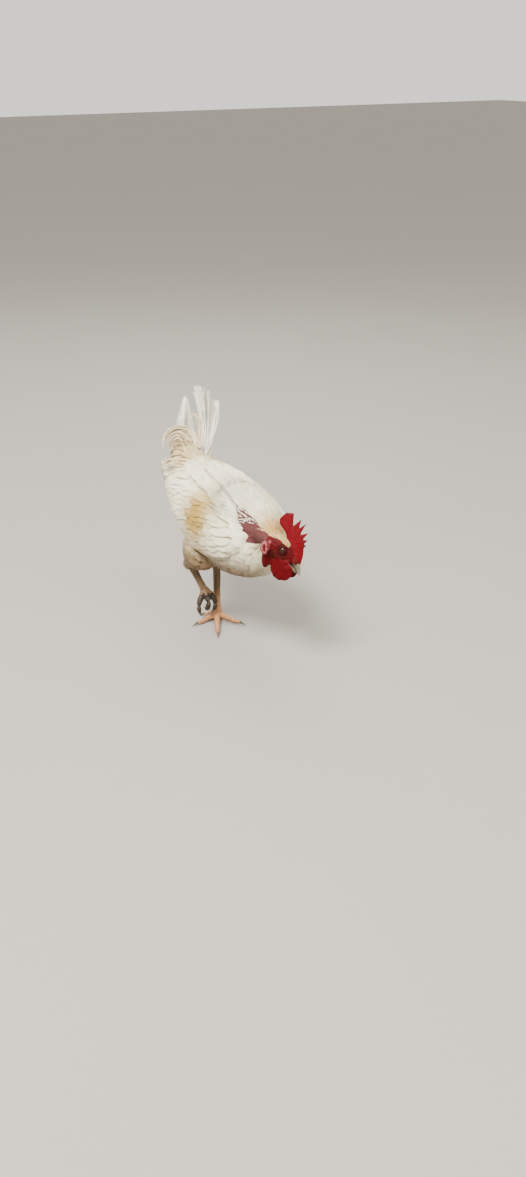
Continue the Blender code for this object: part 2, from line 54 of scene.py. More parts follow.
# ---------------------------------------------------------------- what is made of what
SIDES = (("left", 1.0), ("right", -1.0))
TOES = ("inner", "middle", "outer", "hind")


def both(*parts):
    """Names of parts that the bird has on both sides."""
    return [f"{part}_{side}" for side, _ in SIDES for part in parts]


def each_toe(part):
    return [f"{part}_{side}_{toe}" for side, _ in SIDES for toe in TOES]


FEATHERED = ["trunk", "neck", "tail_root"] + both("wing", "thigh")
BARE = ["head", "comb", "throat"] + both("wattle", "earlobe", "shank") + each_toe("toe")
HORN = ["beak_upper", "beak_lower"] + both("spur") + each_toe("claw")
TAIL_PLUMES = sorted(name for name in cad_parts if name.startswith("tail_feather_"))
SICKLES = sorted(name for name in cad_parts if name.startswith("sickle_"))

# how far the skin lies under the solids, which reach to the tips of the coat
COAT_DEPTH = {"trunk": 0.0068, "neck": 0.0046, "tail_root": 0.0065, "wing": 0.0050, "thigh": 0.0060}
SEAL = 0.0005                   # what closes the gaps between the solids before they become one skin
WELD = 2e-6                     # corners of a node closer than this are one
SKIN_VOXEL, HORN_VOXEL = 0.0021, 0.00045

# colours, linear: of the plumage, the bare skin, the feet, the horn and the eyes
# the last plumage tone, dingy brown, is dingy in lumps and also the painted shade below the body
WHITE, TAIL_WHITE, CREAM, STAIN, DINGY_AND_SHADE = np.array((
    (0.96, 0.855, 0.62), (1.0, 0.93, 0.80), (0.63, 0.35, 0.100), (0.36, 0.215, 0.036), (0.46, 0.335, 0.20)))
COMB_RED, FACE_RED, LOBE_PINK, BARE_MAUVE = np.array((
    (0.098, 0.0, 0.0022), (0.064, 0.0008, 0.0018), (0.15, 0.026, 0.030), (0.105, 0.033, 0.033)))
# the second of these, brown, is mud and also painted shade under the belly
FOOT_ORANGE, MUD_AND_SHADE, LIFTED_FOOT, TOE_GREY = np.array((
    (0.47, 0.225, 0.10), (0.165, 0.100, 0.046), (0.24, 0.145, 0.075), (0.038, 0.026, 0.016)))
PALE_HORN, DARK_HORN = np.array(((0.175, 0.145, 0.093), (0.055, 0.042, 0.022)))
PUPIL, IRIS, LIMBUS = np.array(((0.004, 0.003, 0.003), (0.036, 0.011, 0.003), (0.035, 0.010, 0.006)))
HIDDEN_SHADE = 0.72             # the skin under the feathers, against their own tone

# where the cape parts from the wing, and the shade painted along that crease
CREASE = ((-0.0100, 0.012, 0.2620), (-0.0158, -0.008, 0.2598), (-0.0208, -0.049, 0.2537),
          (-0.0318, -0.101, 0.2461), (-0.0343, -0.121, 0.2396))
CREASE_SHADE, CREASE_WIDTH = np.array((0.24, 0.17, 0.15)), 0.0017

# marks on the body: the stain's centre and reach, and x, y, z and radius along the bare patch
WING_STAIN = ((-0.072, -0.041, 0.219), (0.034, 0.033, 0.050))
BARE_PATCH = ((-0.0310, -0.112, 0.2440, 0.0040), (-0.0345, -0.128, 0.2340, 0.0085),
              (-0.0370, -0.145, 0.2190, 0.0180), (-0.0375, -0.159, 0.2090, 0.0200),
              (-0.0370, -0.177, 0.2050, 0.0150))
PATCH_FADE = (0.75, 1.15)       # the patch's edge, in radii
PATCH_BARE = 0.35               # so far into that edge the hackles reach

# marks in the head's frame: side, ahead, crown
FACE_EDGE = ((-0.046, -0.032, -0.025, -0.012, -0.003, 0.004),       # the bare face's upper edge: places
             (-0.0015, 0.0010, 0.0040, 0.0088, 0.0084, 0.0078))     # ahead, and their heights
FACE_BACK, FACE_LEAN = 0.0415, 0.58     # how far behind the eyes it ends, and how that line leans
FACE_LEFT = (0.0165, 0.0195)    # where it fades on the left cheek
CERE_AHEAD, CERE_DOWN = 0.0285, -0.0056         # how far the face reaches along the bill, and down it
CERE_THICK = 0.0019
WEB_PLACE, WEB_SIZE = np.array(((-0.001, -0.0062, -0.0262), (0.0050, 0.0056, 0.0128)))
PINK_HIGHLIGHT = np.array((0.0170, -0.0224, -0.0040))        # a painted highlight, where a fold catches the light, over each earlobe
LOBE_REACH = 0.016              # within this of the right earlobe the bare patch is wider
LID_OPENING = (0.0044, 0.0034, 0.0038)  # reach ahead and behind, up, and down
LID_EDGE = 0.0159               # how far out the lids join the face
NOSTRIL_AHEAD = 0.0245
BILL_DROP = math.radians(19.0)  # from the head's own axis down to the bill's tip, seen from the eyes


# ---------------------------------------------------------------- numbers
def length_of(vectors):
    return np.linalg.norm(vectors, axis=-1)


def unit(vectors):
    return vectors / np.maximum(length_of(vectors)[..., None], 1e-12)


def smoothstep(low, high, value):
    share = np.clip((value - low) / (high - low), 0.0, 1.0)
    return share * share * (3 - 2 * share)


def mix(a, b, share):
    return a + (b - a) * share


def hill(value, centre, width):
    """A bell curve: 1 at the centre."""
    return np.exp(-((value - centre) / width) ** 2)


def grain(points, size, seed=0.0):
    """Smooth random values from -1 to 1 at points, in lumps of about `size`; each seed has its own."""
    shift = Vector((seed * 17.3, seed * 5.1, seed * 11.7))
    return np.array([noise.noise(Vector(p) / size + shift) for p in points.tolist()])


def shares(count):
    """Even steps from 0 to 1."""
    return np.linspace(0, 1, count)


def wobble(amount, *shape):
    """Random values round 0."""
    return amount * rng.normal(size=shape)


def read_off(rows, stops, at):
    """Values of a line's rows, which stand at `stops`, at other places along it."""
    return np.stack([np.interp(at, stops, rows[:, k]) for k in range(3)], -1)


def evened(rows):
    """Draws each inner row of a line halfway to its neighbours."""
    rows[1:-1] = 0.5 * rows[1:-1] + 0.25 * (rows[:-2] + rows[2:])


def from_segment(points, low, high):
    """How far along a segment each point lies, from 0 to 1, and the way from there to the point."""
    span = high - low
    share = np.clip((points - low) @ span / (span @ span), 0, 1)
    return share, points - (low + share[..., None] * span)


begins = np.char.startswith     # which names in an array begin with a word


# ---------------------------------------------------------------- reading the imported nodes
def welded(name):
    """Points and triangles of a node, with each corner once."""
    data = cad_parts[name].data
    points = np.array([v.co[:] for v in data.vertices])
    data.calc_loop_triangles()
    triangles = np.array([t.vertices[:] for t in data.loop_triangles])
    _, first, index = np.unique(np.round(points / WELD).astype(np.int64), axis=0,
                                return_index=True, return_inverse=True)
    triangles = index.reshape(-1)[triangles]
    whole = (triangles != np.roll(triangles, -1, 1)).all(1)
    return points[first], triangles[whole]


def point_normals(points, faces):
    """The outward direction at each point of a mesh of triangles or quads."""
    corners = points[faces]
    if faces.shape[1] == 3:
        across = np.cross(corners[:, 1] - corners[:, 0], corners[:, 2] - corners[:, 0])
    else:
        across = np.cross(corners[:, 2] - corners[:, 0], corners[:, 3] - corners[:, 1])
    total = np.zeros_like(points)
    for k in range(faces.shape[1]):
        for axis in range(3):
            total[:, axis] += np.bincount(faces[:, k], across[:, axis], len(points))
    return unit(total)


def joined(names, grow=0.0):
    """Several nodes as one mesh: points, triangles and the name each triangle comes from."""
    all_points, all_faces, owners = [], [], []
    start = 0
    for name in names:
        points, faces = welded(name)
        if grow:
            points = points + point_normals(points, faces) * grow
        all_points.append(points)
        all_faces.append(faces + start)
        owners += [name] * len(faces)
        start += len(points)
    return np.concatenate(all_points), np.concatenate(all_faces), owners


def centre_of(name):
    low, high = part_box(name)
    return np.array((low + high) / 2)


def tree_of(points, faces):
    return BVHTree.FromPolygons(points.tolist(), faces.tolist())


def rays(tree, starts, ways, reach):
    """Where rays meet a surface, None for a miss, and how far off."""
    return [tree.ray_cast(start, way, reach)[::3] for start, way in zip(starts.tolist(), ways.tolist())]


# ---------------------------------------------------------------- the head's frame
eye_places = {side: centre_of("eye_" + side) for side, _ in SIDES}
head_centre = (eye_places["left"] + eye_places["right"]) / 2
head_left = unit(eye_places["left"] - eye_places["right"])
bill_points = welded("beak_upper")[0]
bill_tip = bill_points[np.argmax(length_of(bill_points - head_centre))]
bill_way = unit(bill_tip - head_centre)
bill_way = unit(bill_way - head_left * (bill_way @ head_left))
over_bill = np.cross(bill_way, head_left)
head_ahead = bill_way * math.cos(BILL_DROP) + over_bill * math.sin(BILL_DROP)
HEAD_AXES = np.stack([head_left, head_ahead, np.cross(head_ahead, head_left)])
EYE_OUT = float(np.linalg.norm(eye_places["left"] - head_centre))
EYE_BALL = (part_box("eye_left")[1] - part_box("eye_left")[0]).length / math.sqrt(12) + 0.0002


def to_head(points):
    """Places in the head's frame: to its left, ahead, up through the crown, from between the eyes."""
    return (points - head_centre) @ HEAD_AXES.T


def from_head(places):
    return np.asarray(places) @ HEAD_AXES + head_centre


def ear(side):
    """The middle of an earlobe, in the head's frame."""
    return to_head(centre_of("earlobe_" + side)[None])[0]


# ---------------------------------------------------------------- mesh code
def quad_mesh(name, points, quads):
    mesh = bpy.data.meshes.new(name)
    mesh.vertices.add(len(points))
    mesh.vertices.foreach_set("co", np.ascontiguousarray(points, np.float32).ravel())
    mesh.loops.add(quads.size)
    mesh.loops.foreach_set("vertex_index", np.ascontiguousarray(quads, np.int32).ravel())
    mesh.polygons.add(len(quads))
    mesh.polygons.foreach_set("loop_start", np.arange(0, quads.size, 4, dtype=np.int32))
    mesh.update(calc_edges=True)
    mesh.shade_smooth()
    return mesh


def placed(name, data):
    """An object in the scene."""
    made = bpy.data.objects.new(name, data)
    bpy.context.scene.collection.objects.link(made)
    return made


def show(name, mesh, surface, slot, *nodes):
    """A piece of the bird: it rides on the body, takes a finish and stands for nodes. The slot is not used.
    """
    piece = placed(name, mesh)
    mesh.materials.append(surface)
    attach(piece, "root")
    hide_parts(*nodes)


def paint(mesh, name, colours):
    """Colours at the points of a mesh, for its material."""
    layer = mesh.color_attributes.new(name, "FLOAT_COLOR", "POINT")
    full = np.ones((len(colours), 4), np.float32)
    full[:, :3] = np.clip(colours, 0, 1)
    layer.data.foreach_set("color", full.ravel())


def remeshed(points, faces, voxel):
    """A closed mesh made anew as a grid of even quads."""
    mesh = bpy.data.meshes.new("draft")
    mesh.from_pydata(points.tolist(), [], faces.tolist())
    draft = placed("draft", mesh)
    modifier = draft.modifiers.new("remesh", "REMESH")
    modifier.mode = "VOXEL"
    modifier.voxel_size = voxel
    modifier.adaptivity = 0.0
    made = bpy.data.meshes.new_from_object(draft.evaluated_get(bpy.context.evaluated_depsgraph_get()))
    out = np.zeros(len(made.vertices) * 3)
    made.vertices.foreach_get("co", out)
    corners = np.zeros(len(made.loops), np.int32)
    made.loops.foreach_get("vertex_index", corners)
    bpy.data.objects.remove(draft)
    bpy.data.meshes.remove(mesh)
    bpy.data.meshes.remove(made)
    return out.reshape(-1, 3), corners.reshape(-1, 4)


def edges_of(faces):
    sides = faces.shape[1]
    pairs = np.concatenate([faces[:, [k, (k + 1) % sides]] for k in range(sides)])
    pairs.sort(axis=1)
    return np.unique(pairs, axis=0)


def relax(values, edges, strength, times, swell=0.0):
    """Draw each value towards its neighbours' mean, then, with `swell`, partly back again."""
    near, far = edges.T
    size = len(values)
    count = np.maximum(np.bincount(near, minlength=size) + np.bincount(far, minlength=size), 1)
    flat = values.reshape(size, -1).copy()
    strength = np.broadcast_to(np.asarray(strength, float), (size,))
    for _ in range(times):
        for factor in ((1.0, -swell) if swell else (1.0,)):
            mean = np.stack([np.bincount(near, column[far], size) + np.bincount(far, column[near], size)
                             for column in flat.T], 1) / count[:, None]
            flat += (strength * factor)[:, None] * (mean - flat)
    return flat.reshape(values.shape)


def main_island(points, quads):
    """The largest connected piece of a mesh."""
    label = np.arange(len(points))
    while True:
        lowest = label[quads].min(axis=1)
        fresh = label.copy()
        for k in range(4):
            np.minimum.at(fresh, quads[:, k], lowest)
        fresh = fresh[fresh]
        if (fresh == label).all():
            break
        label = fresh
    kept = label == np.bincount(label).argmax()
    index = np.cumsum(kept) - 1
    return points[kept], index[quads[kept[quads[:, 0]]]]


# ---------------------------------------------------------------- the skin
# lenses that enlarge a place while the skin is gridded, so that its cells are finer there:
# centre, reach, power
LENSES = ((head_centre, 0.045, 3.8), (centre_of("toe_left_middle") * (0.5, 0.5, 1.0), 0.040, 1.9))
SOLE_HEIGHT = 0.02              # up to here the skin is drawn down until it stands on the floor


def stretched(radius, reach, power):
    return radius + (power - 1) * reach * (1 - np.exp(-radius / reach))


def through_lenses(points, back=False):
    for centre, reach, power in (reversed(LENSES) if back else LENSES):
        away = points - centre
        radius = np.maximum(length_of(away), 1e-9)
        if back:
            table = np.linspace(0, 1.0, 4000)
            target = np.interp(radius, stretched(table, reach, power), table)
        else:
            target = stretched(radius, reach, power)
        points = centre + away * (target / radius)[:, None]
    return points


def depth_of(owner):
    for name, depth in COAT_DEPTH.items():
        if owner.startswith(name):
            return depth + SEAL
    return SEAL


def near_patch(points, margin=1.0):
    """1 in the bare patch at the side of the neck, and 0 outside it."""
    inside = np.zeros(len(points))
    rows = np.array(BARE_PATCH)
    for low, high in zip(rows, rows[1:]):
        share, away = from_segment(points, low[:3], high[:3])
        gap = length_of(away) / (margin * mix(low[3], high[3], share))
        inside = np.maximum(inside, 1 - smoothstep(*PATCH_FADE, gap))
    return inside


def near_face(points):
    """1 where the bare red skin of the face goes on over the neck, behind and under the earlobes."""
    side, ahead, crown = to_head(points).T
    before = smoothstep(-0.0015, 0.0015, ahead + FACE_BACK + FACE_LEAN * crown)
    under = 1 - smoothstep(-0.0008, 0.0008, crown - np.interp(ahead, *FACE_EDGE))
    beside = (side > -0.03) * (1 - smoothstep(*FACE_LEFT, side))
    return before * under * beside * (ahead < 0.01)


def cere():
    """The swelling of the face over the bill's base: the bill's own shape, cut short."""
    points, faces = welded("beak_upper")
    place = to_head(points + point_normals(points, faces) * CERE_THICK)
    place[:, 1] = np.minimum(place[:, 1], CERE_AHEAD + 0.25 * (place[:, 2] + 0.004))
    place[:, 2] = np.maximum(place[:, 2], CERE_DOWN)
    return from_head(place), faces


def web():
    """The skin under the head that joins the wattles to the throat."""
    ball = bmesh.new()
    bmesh.ops.create_icosphere(ball, subdivisions=3, radius=1.0)
    bmesh.ops.triangulate(ball, faces=ball.faces[:])
    points = np.array([v.co[:] for v in ball.verts])
    faces = np.array([[v.index for v in f.verts] for f in ball.faces])
    ball.free()
    return from_head(points * WEB_SIZE + WEB_PLACE), faces


def gridded_flesh():
    """All the flesh as one closed grid: points, quads and the node that each point comes from."""
    points, faces, owners = joined(FEATHERED + BARE, SEAL)
    for more_points, more_faces in (cere(), web()):
        faces = np.concatenate([faces, more_faces + len(points)])
        points = np.concatenate([points, more_points])
        owners += ["head"] * len(more_faces)
    source = tree_of(points, faces)
    grid, quads = remeshed(through_lenses(points), faces, SKIN_VOXEL)
    grid, quads = main_island(through_lenses(grid, back=True), quads)
    owner = np.array([owners[source.find_nearest(p)[2]] for p in grid.tolist()])
    return grid, quads, owner


def sunk(points, quads, owner, edges):
    """The grid drawn in under the coat, and smoothed."""
    depth = np.array([depth_of(name) for name in owner])
    feathered = (depth > 2 * SEAL).astype(float)
    softness = relax(feathered, edges, 0.5, 12)
    blades = (owner == "comb").astype(float)
    wattles = begins(owner, "wattle").astype(float)
    for strength, times, swell in ((0.5 - 0.2 * blades, 4, 1.05), (0.3 * blades, 3, 1.05),
                                   (0.5 * (owner == "throat"), 12, 1.03), (0.6 * wattles, 60, 1.03)):
        points = relax(points, edges, strength, times, swell=swell)
    place = to_head(points)
    place[:, :1] = relax(place[:, :1], edges, 0.6 * blades, 90)
    points = relax(from_head(place), edges, 0.5 * softness, 26)
    normals = point_normals(points, quads)
    room = np.full(len(points), 1.0)
    inner = np.nonzero(feathered)[0]
    found = rays(tree_of(points, quads), points[inner] - normals[inner] * 2e-4, -normals[inner], 0.04)
    for k, (spot, gap) in zip(inner, found):
        if spot is not None:
            room[k] = gap
    depth = relax(np.minimum(depth, 0.36 * room), edges, 0.6, 22)
    points = points - relax(normals, edges, 0.5 * softness, 10) * depth[:, None]
    return relax(points, edges, 0.45 * softness, 8)


def face_relief(points, owner):
    """Folds, granules and creases of the bare parts, as heights above the smooth skin."""
    place = to_head(points)
    side, ahead, crown = place.T
    out = np.abs(side)
    height = np.zeros(len(points))
    head = owner == "head"

    # round each eye a groove outside the lids, and a finer ring beyond
    ring = np.hypot(ahead * 0.94, crown * 1.10)
    turn = np.arctan2(crown, ahead)
    beside = smoothstep(0.006, 0.010, out) * (ring < 0.016)
    groove = hill(ring, 0.0071, 0.0010) * 0.00055
    outer = hill(ring, 0.0091, 0.0011) * 0.00040 * (1 + 0.4 * np.cos(13 * turn + 1))
    height += beside * (outer - groove)

    # the gape, a crease that runs back from the corner of the bill
    line = -0.0118 - 0.10 * (0.015 - ahead)
    gape = hill(crown, line, 0.0009) * smoothstep(-0.003, 0.001, ahead)
    gape = gape * (1 - smoothstep(0.015, 0.019, ahead))
    height -= 0.0009 * gape * (out > 0.003) * head

    # wrinkled bare skin
    wrinkle = 1 - np.abs(grain(place * (1.0, 1.5, 1.0), 0.0030, 1)) * 2.0
    lumps = grain(place, 0.0013, 2)
    height += head * (0.00028 * wrinkle + 0.00016 * lumps) * (ring > 0.0040)

    # granules of the comb and wattles, folds where the comb meets the skull, and folds of the wattles
    comb = owner == "comb"
    wattle = begins(owner, "wattle")
    height += (comb | wattle) * 0.00013 * grain(place, 0.0011, 3)
    height += comb * hill(np.hypot(ahead, crown), 0.019, 0.007) * 0.00045 * grain(place, 0.0042, 4)
    folds = 0.0011 * grain(place * (0.4, 1.5, 0.7), 0.0085, 5) + 0.0003 * grain(place, 0.0032, 13)
    height += wattle * folds

    # each earlobe's folds: a rim round it and a slit down its middle
    for name, _ in SIDES:
        middle = ear(name)
        along = (ahead - middle[1]) * 0.66 - (crown - middle[2]) * 0.75
        across = (ahead - middle[1]) * 0.75 + (crown - middle[2]) * 0.66
        across = across + 0.0012 * grain(place, 0.0040, 14)
        rim = hill(np.hypot(across * 1.25, along * 0.62), 0.0046, 0.0013) * 0.0010
        slit = hill(across, 0.0002, 0.0011) * hill(along, 0, 0.0050) * 0.0016
        folds = rim - slit + 0.0005 * grain(place * (1, 1.6, 0.7), 0.0026, 6)
        height += (owner == "earlobe_" + name) * folds
    return height


def lidded(points):
    """The skin drawn over each eyeball as two lids, with an opening between them."""
    side, ahead, crown = to_head(points).T
    out = np.abs(side)
    ring = np.hypot(ahead, crown)
    opening = np.hypot(ahead / LID_OPENING[0], crown / np.where(crown > 0, LID_OPENING[1], LID_OPENING[2]))
    turn = np.arctan2(crown, ahead)
    ball = EYE_OUT + np.sqrt(np.maximum(EYE_BALL ** 2 - ring ** 2, 0))
    over = EYE_OUT + np.sqrt(np.maximum((EYE_BALL + 0.0007) ** 2 - ring ** 2, 0))
    lid = mix(over, LID_EDGE, smoothstep(0.0036, 0.0056, ring))
    lid = lid + hill(opening, 1.20, 0.16) * (0.00042 + 0.00022 * (crown > 0)) * (1 + 0.15 * np.cos(24 * turn))
    near = (out > 0.0028) & (ring < 0.0068)
    raised = np.where(opening > 1.0, np.maximum(out, lid), np.minimum(out, ball - 0.0010))
    out = np.where(near, raised, out)
    return from_head(np.stack([np.sign(side) * out, ahead, crown], 1))


def neck_relief(points):
    """Follicles and soft creases where the neck is bare."""
    pimples = np.maximum(0, grain(points, 0.0021, 7) - 0.18)
    creases = grain(points * (1.0, 0.45, 1.6), 0.0075, 8)
    return near_patch(points) * (0.0011 * pimples + 0.0007 * creases)


def plume_tones(points):
    """White, cream towards the head and the saddle, dingy in lumps and darker below with painted shade,
    darker still low on the right side with mud and painted shade, and stained on the right wing.
    """
    x, y, z = points.T

    def toned(tone, other, share, lumps, seed):
        """Towards another tone, by a share that varies in lumps."""
        share = (share + lumps[0] * grain(points, lumps[1], seed)).clip(0, 1)
        return mix(tone, other, share[:, None])

    saddle = smoothstep(0.030, 0.075, y) * smoothstep(0.235, 0.262, z)
    hip = smoothstep(0.030, 0.070, y) * smoothstep(0.200, 0.240, z)
    cream = hill(length_of(to_head(points) - (0, -0.02, 0.01)), 0.012, 0.042)
    cream = np.maximum(cream, 0.75 * saddle * (1 - smoothstep(0.290, 0.320, z)))
    cream = np.maximum(cream, 0.16 + 0.10 * hip)
    tone = toned(np.tile(WHITE, (len(points), 1)), CREAM, cream, (0.14, 0.022), 20)
    # a little dingy all over in lumps, and darker towards the bottom: painted shade under the body
    tone = toned(tone, DINGY_AND_SHADE, 0.90 * (1 - smoothstep(0.100, 0.185, z)) + 0.08, (0.12, 0.030), 21)
    # mud and painted shade low on the right side, over the thigh
    mud_and_shade = 1 - smoothstep(0.130, 0.205, z - 0.25 * (y + 0.02) + 0.010 * grain(points, 0.014, 23))
    tone = mix(tone, MUD_AND_SHADE, (mud_and_shade * smoothstep(0.010, -0.020, x)).clip(0, 1)[:, None])
    away = (points - WING_STAIN[0]) / WING_STAIN[1]
    stain = 1.35 * np.exp(-np.sum(away ** 2, 1)) * (1 + 0.25 * grain(points, 0.020, 22))
    return mix(tone, STAIN, stain.clip(0, 1)[:, None])


def leg_tones(points, side):
    """Orange at the foot, darker towards the hock with mud and painted shade from under the belly; the lifted
    leg is darker all the way.
    """
    foot, low = (FOOT_ORANGE, 0.028) if side == "left" else (LIFTED_FOOT, 0.060)
    return mix(foot, MUD_AND_SHADE * 0.5, 0.92 * smoothstep(low, low + 0.035, points[:, 2])[:, None])


def flesh_colours(points, owner, edges, height):
    """The skin's own colours, by what it covers."""
    place = to_head(points)
    side, ahead, crown = place.T
    head, lobes = (owner == "head")[:, None], begins(owner, "earlobe")[:, None]
    # under the feathers the skin takes their tones darkened: painted shade deep in the coat
    colours = plume_tones(points) * HIDDEN_SHADE
    for start, tone in (("comb", COMB_RED), ("wattle", COMB_RED * 0.72), ("head", FACE_RED),
                        ("throat", FACE_RED), ("earlobe", LOBE_PINK), ("toe_left", FOOT_ORANGE),
                        ("toe_right", TOE_GREY)):
        colours[begins(owner, start)] = tone
    for name, _ in SIDES:
        shank = owner == "shank_" + name
        colours[shank] = leg_tones(points[shank], name)
    colours = relax(colours, edges, 0.5, 4)

    # the face: blotches, and painted shade round the eyes in their sockets
    bright = np.clip(0.5 + 0.5 * grain(place, 0.009, 9), 0, 1)[:, None]
    colours = np.where(head, colours * mix(0.72, 1.30, bright), colours)
    dark = (hill(np.hypot(ahead, crown), 0.0035, 0.0055) * (np.abs(side) > 0.008))[:, None]
    colours = np.where(head, mix(colours, colours * 0.42, dark), colours)

    # the earlobes: redder in their hollows as painted shade and pale on their folds as painted highlight,
    # with a painted highlight over each
    hollow = smoothstep(0.0003, -0.0005, height)[:, None]
    fold = smoothstep(0.0001, 0.0008, height)[:, None]
    folded = mix(mix(colours, FACE_RED, 0.85 * hollow), LOBE_PINK * (2.1, 3.1, 2.9), 0.8 * fold)
    colours = np.where(lobes, folded, colours)
    away = length_of(np.stack([np.abs(side), ahead, crown], 1) - PINK_HIGHLIGHT)
    face = ((owner == "head") | (owner == "throat"))[:, None]
    colours = mix(colours, LOBE_PINK * (1.8, 2.6, 2.5), hill(away, 0, 0.0022)[:, None] * face)

    # the neck: red under the head, and mauve in the bare patch, which reaches up to the earlobe
    red = near_face(points)
    colours = mix(colours, FACE_RED * 1.1, (red * (owner == "neck"))[:, None])
    beside_lobe = length_of(place - ear("right")) < LOBE_REACH
    bare = np.maximum(near_patch(points, 1.35), near_patch(points, 2.2) * beside_lobe * (1 - red))
    bare_tone = BARE_MAUVE * (1 + 0.22 * grain(points, 0.004, 10)[:, None])
    return mix(colours, bare_tone, (bare * (owner != "earlobe_right"))[:, None])


def build_skin():
    points, quads, owner = gridded_flesh()
    edges = edges_of(quads)
    points = sunk(points, quads, owner, edges)
    normals = point_normals(points, quads)
    height = face_relief(points, owner) + neck_relief(points)
    points = lidded(points + normals * height[:, None])
    z = points[:, 2]
    points[:, 2] = np.where(z < SOLE_HEIGHT, z - z.min() * (1 - z / SOLE_HEIGHT), z)
    mesh = quad_mesh("skin", points, quads)
    paint(mesh, "Flesh", flesh_colours(points, owner, edges, height))
    return mesh, points, quads, owner


# ---------------------------------------------------------------- materials
class Shader:
    """A Principled material and short calls for its nodes."""

    def __init__(self, name, roughness, **constants):
        self.material = bpy.data.materials.new(name)
        self.material.use_nodes = True
        self.nodes = self.material.node_tree.nodes
        self.links = self.material.node_tree.links
        self.surface = self.nodes["Principled BSDF"]
        self.feed(self.surface, Roughness=roughness, **constants)
        self.bumped = None

    def join(self, socket, value):
        """A socket takes another node's output or a constant."""
        if isinstance(value, bpy.types.NodeSocket):
            self.links.new(value, socket)
        else:
            socket.default_value = value

    def feed(self, node, **values):
        """A node's inputs by name, with a low line for each space."""
        for name, value in values.items():
            self.join(node.inputs[name.replace("_", " ")], value)
        return node

    def node(self, kind, **settings):
        made = self.nodes.new("ShaderNode" + kind)
        for key, value in settings.items():
            setattr(made, key, value)
        return made

    def maths(self, operation, *values):
        """What a sum makes of outputs and numbers."""
        made = self.node("Math", operation=operation)
        for socket, value in zip(made.inputs, values):
            self.join(socket, value)
        return made.outputs[0]

    def speckle(self, scale, detail, squeeze=(1, 1, 1)):
        """Fine lumps over the surface's own place, squeezed along each axis."""
        place = self.node("TexCoord").outputs["Object"]
        place = self.feed(self.node("Mapping"), Vector=place, Scale=squeeze).outputs["Vector"]
        return self.feed(self.node("TexNoise"), Vector=place, Scale=scale, Detail=detail).outputs["Fac"]

    def painted(self, name):
        return self.node("Attribute", attribute_name=name).outputs["Color"]

    def spread(self, value, low, high, to_low, to_high):
        """A value brought from one range to another."""
        made = self.feed(self.node("MapRange"), Value=value, From_Min=low, From_Max=high)
        return self.feed(made, To_Min=to_low, To_Max=to_high).outputs["Result"]

    def mottle(self, lumps, low, high):
        """Lumps as values between two others."""
        return self.spread(lumps, 0.3, 0.7, low, high)

    def times(self, colour, factor):
        """A colour made lighter or darker by a value."""
        product = self.node("VectorMath", operation="SCALE")
        self.join(product.inputs[0], colour)
        return self.feed(product, Scale=factor).outputs["Vector"]

    def blend(self, factor, one, two):
        """Between two colours by a value."""
        made = self.node("Mix", data_type="RGBA")
        for socket, value in zip((made.inputs[0], made.inputs[6], made.inputs[7]), (factor, one, two)):
            self.join(socket, value)
        return made.outputs[2]

    def look(self, colour, roughness=None):
        self.feed(self.surface, Base_Color=colour)
        if roughness is not None:
            self.feed(self.surface, Roughness=roughness)

    def bump(self, height, distance, strength):
        made = self.feed(self.node("Bump"), Distance=distance, Strength=strength, Height=height)
        if self.bumped is not None:
            self.feed(made, Normal=self.bumped)
        self.bumped = made.outputs["Normal"]
        self.feed(self.surface, Normal=self.bumped)


def mottled_material(name, roughness, layer, lumps, tones, gloss, *bumps, finer=None, **constants):
    """A painted surface whose lumps vary its tone and its roughness, with bumps on top of each other.

    lumps are a speckle's scale, detail and squeeze, and finer those of another one for the roughness;
    each bump is a distance, a strength and, for lumps of its own, a scale and a detail.
    """
    shader = Shader(name, roughness, **constants)
    broad = shader.speckle(*lumps)
    fine = shader.speckle(*finer) if finer else broad
    tone = shader.times(shader.painted(layer), shader.mottle(broad, *tones))
    shader.look(tone, shader.mottle(fine, *gloss))
    for distance, strength, *own in bumps:
        shader.bump(shader.speckle(*own) if own else fine, distance, strength)
    return shader.material


def plume_material(name, lines, slant, shine=0.0, rim=0.86):
    """Feathers: fine barbs that run out from the shaft towards the tip, and a darker rim of painted shade
    that draws lines between the rows.
    """
    shader = Shader(name, 0.72, Sheen_Weight=0.15, Sheen_Roughness=0.4, Specular_IOR_Level=0.3 + shine,
                    Subsurface_Weight=0.25, Subsurface_Scale=0.003)
    vane = shader.node("SeparateXYZ")
    shader.join(vane.inputs[0], shader.node("UVMap", uv_map="Vane").outputs["UV"])
    out = shader.maths("ABSOLUTE", shader.maths("SUBTRACT", vane.outputs[0], 0.5))
    lag = shader.maths("MULTIPLY_ADD", out, -slant, vane.outputs[1])
    line = shader.maths("SINE", shader.maths("MULTIPLY", lag, lines * 2 * math.pi))
    tone = shader.times(shader.painted("Plume"), shader.spread(line, -1, 1, 0.955, 1.01))
    tone = shader.times(tone, shader.mottle(shader.speckle(160, 3), 0.95, 1.03))
    # painted shade along the edges of each vane
    tone = shader.times(tone, shader.spread(out, 0.40, 0.50, 1.0, rim))
    shader.look(tone, shader.spread(line, -1, 1, 0.80, 0.62))
    shader.bump(line, 0.00012, 0.5)
    return shader.material


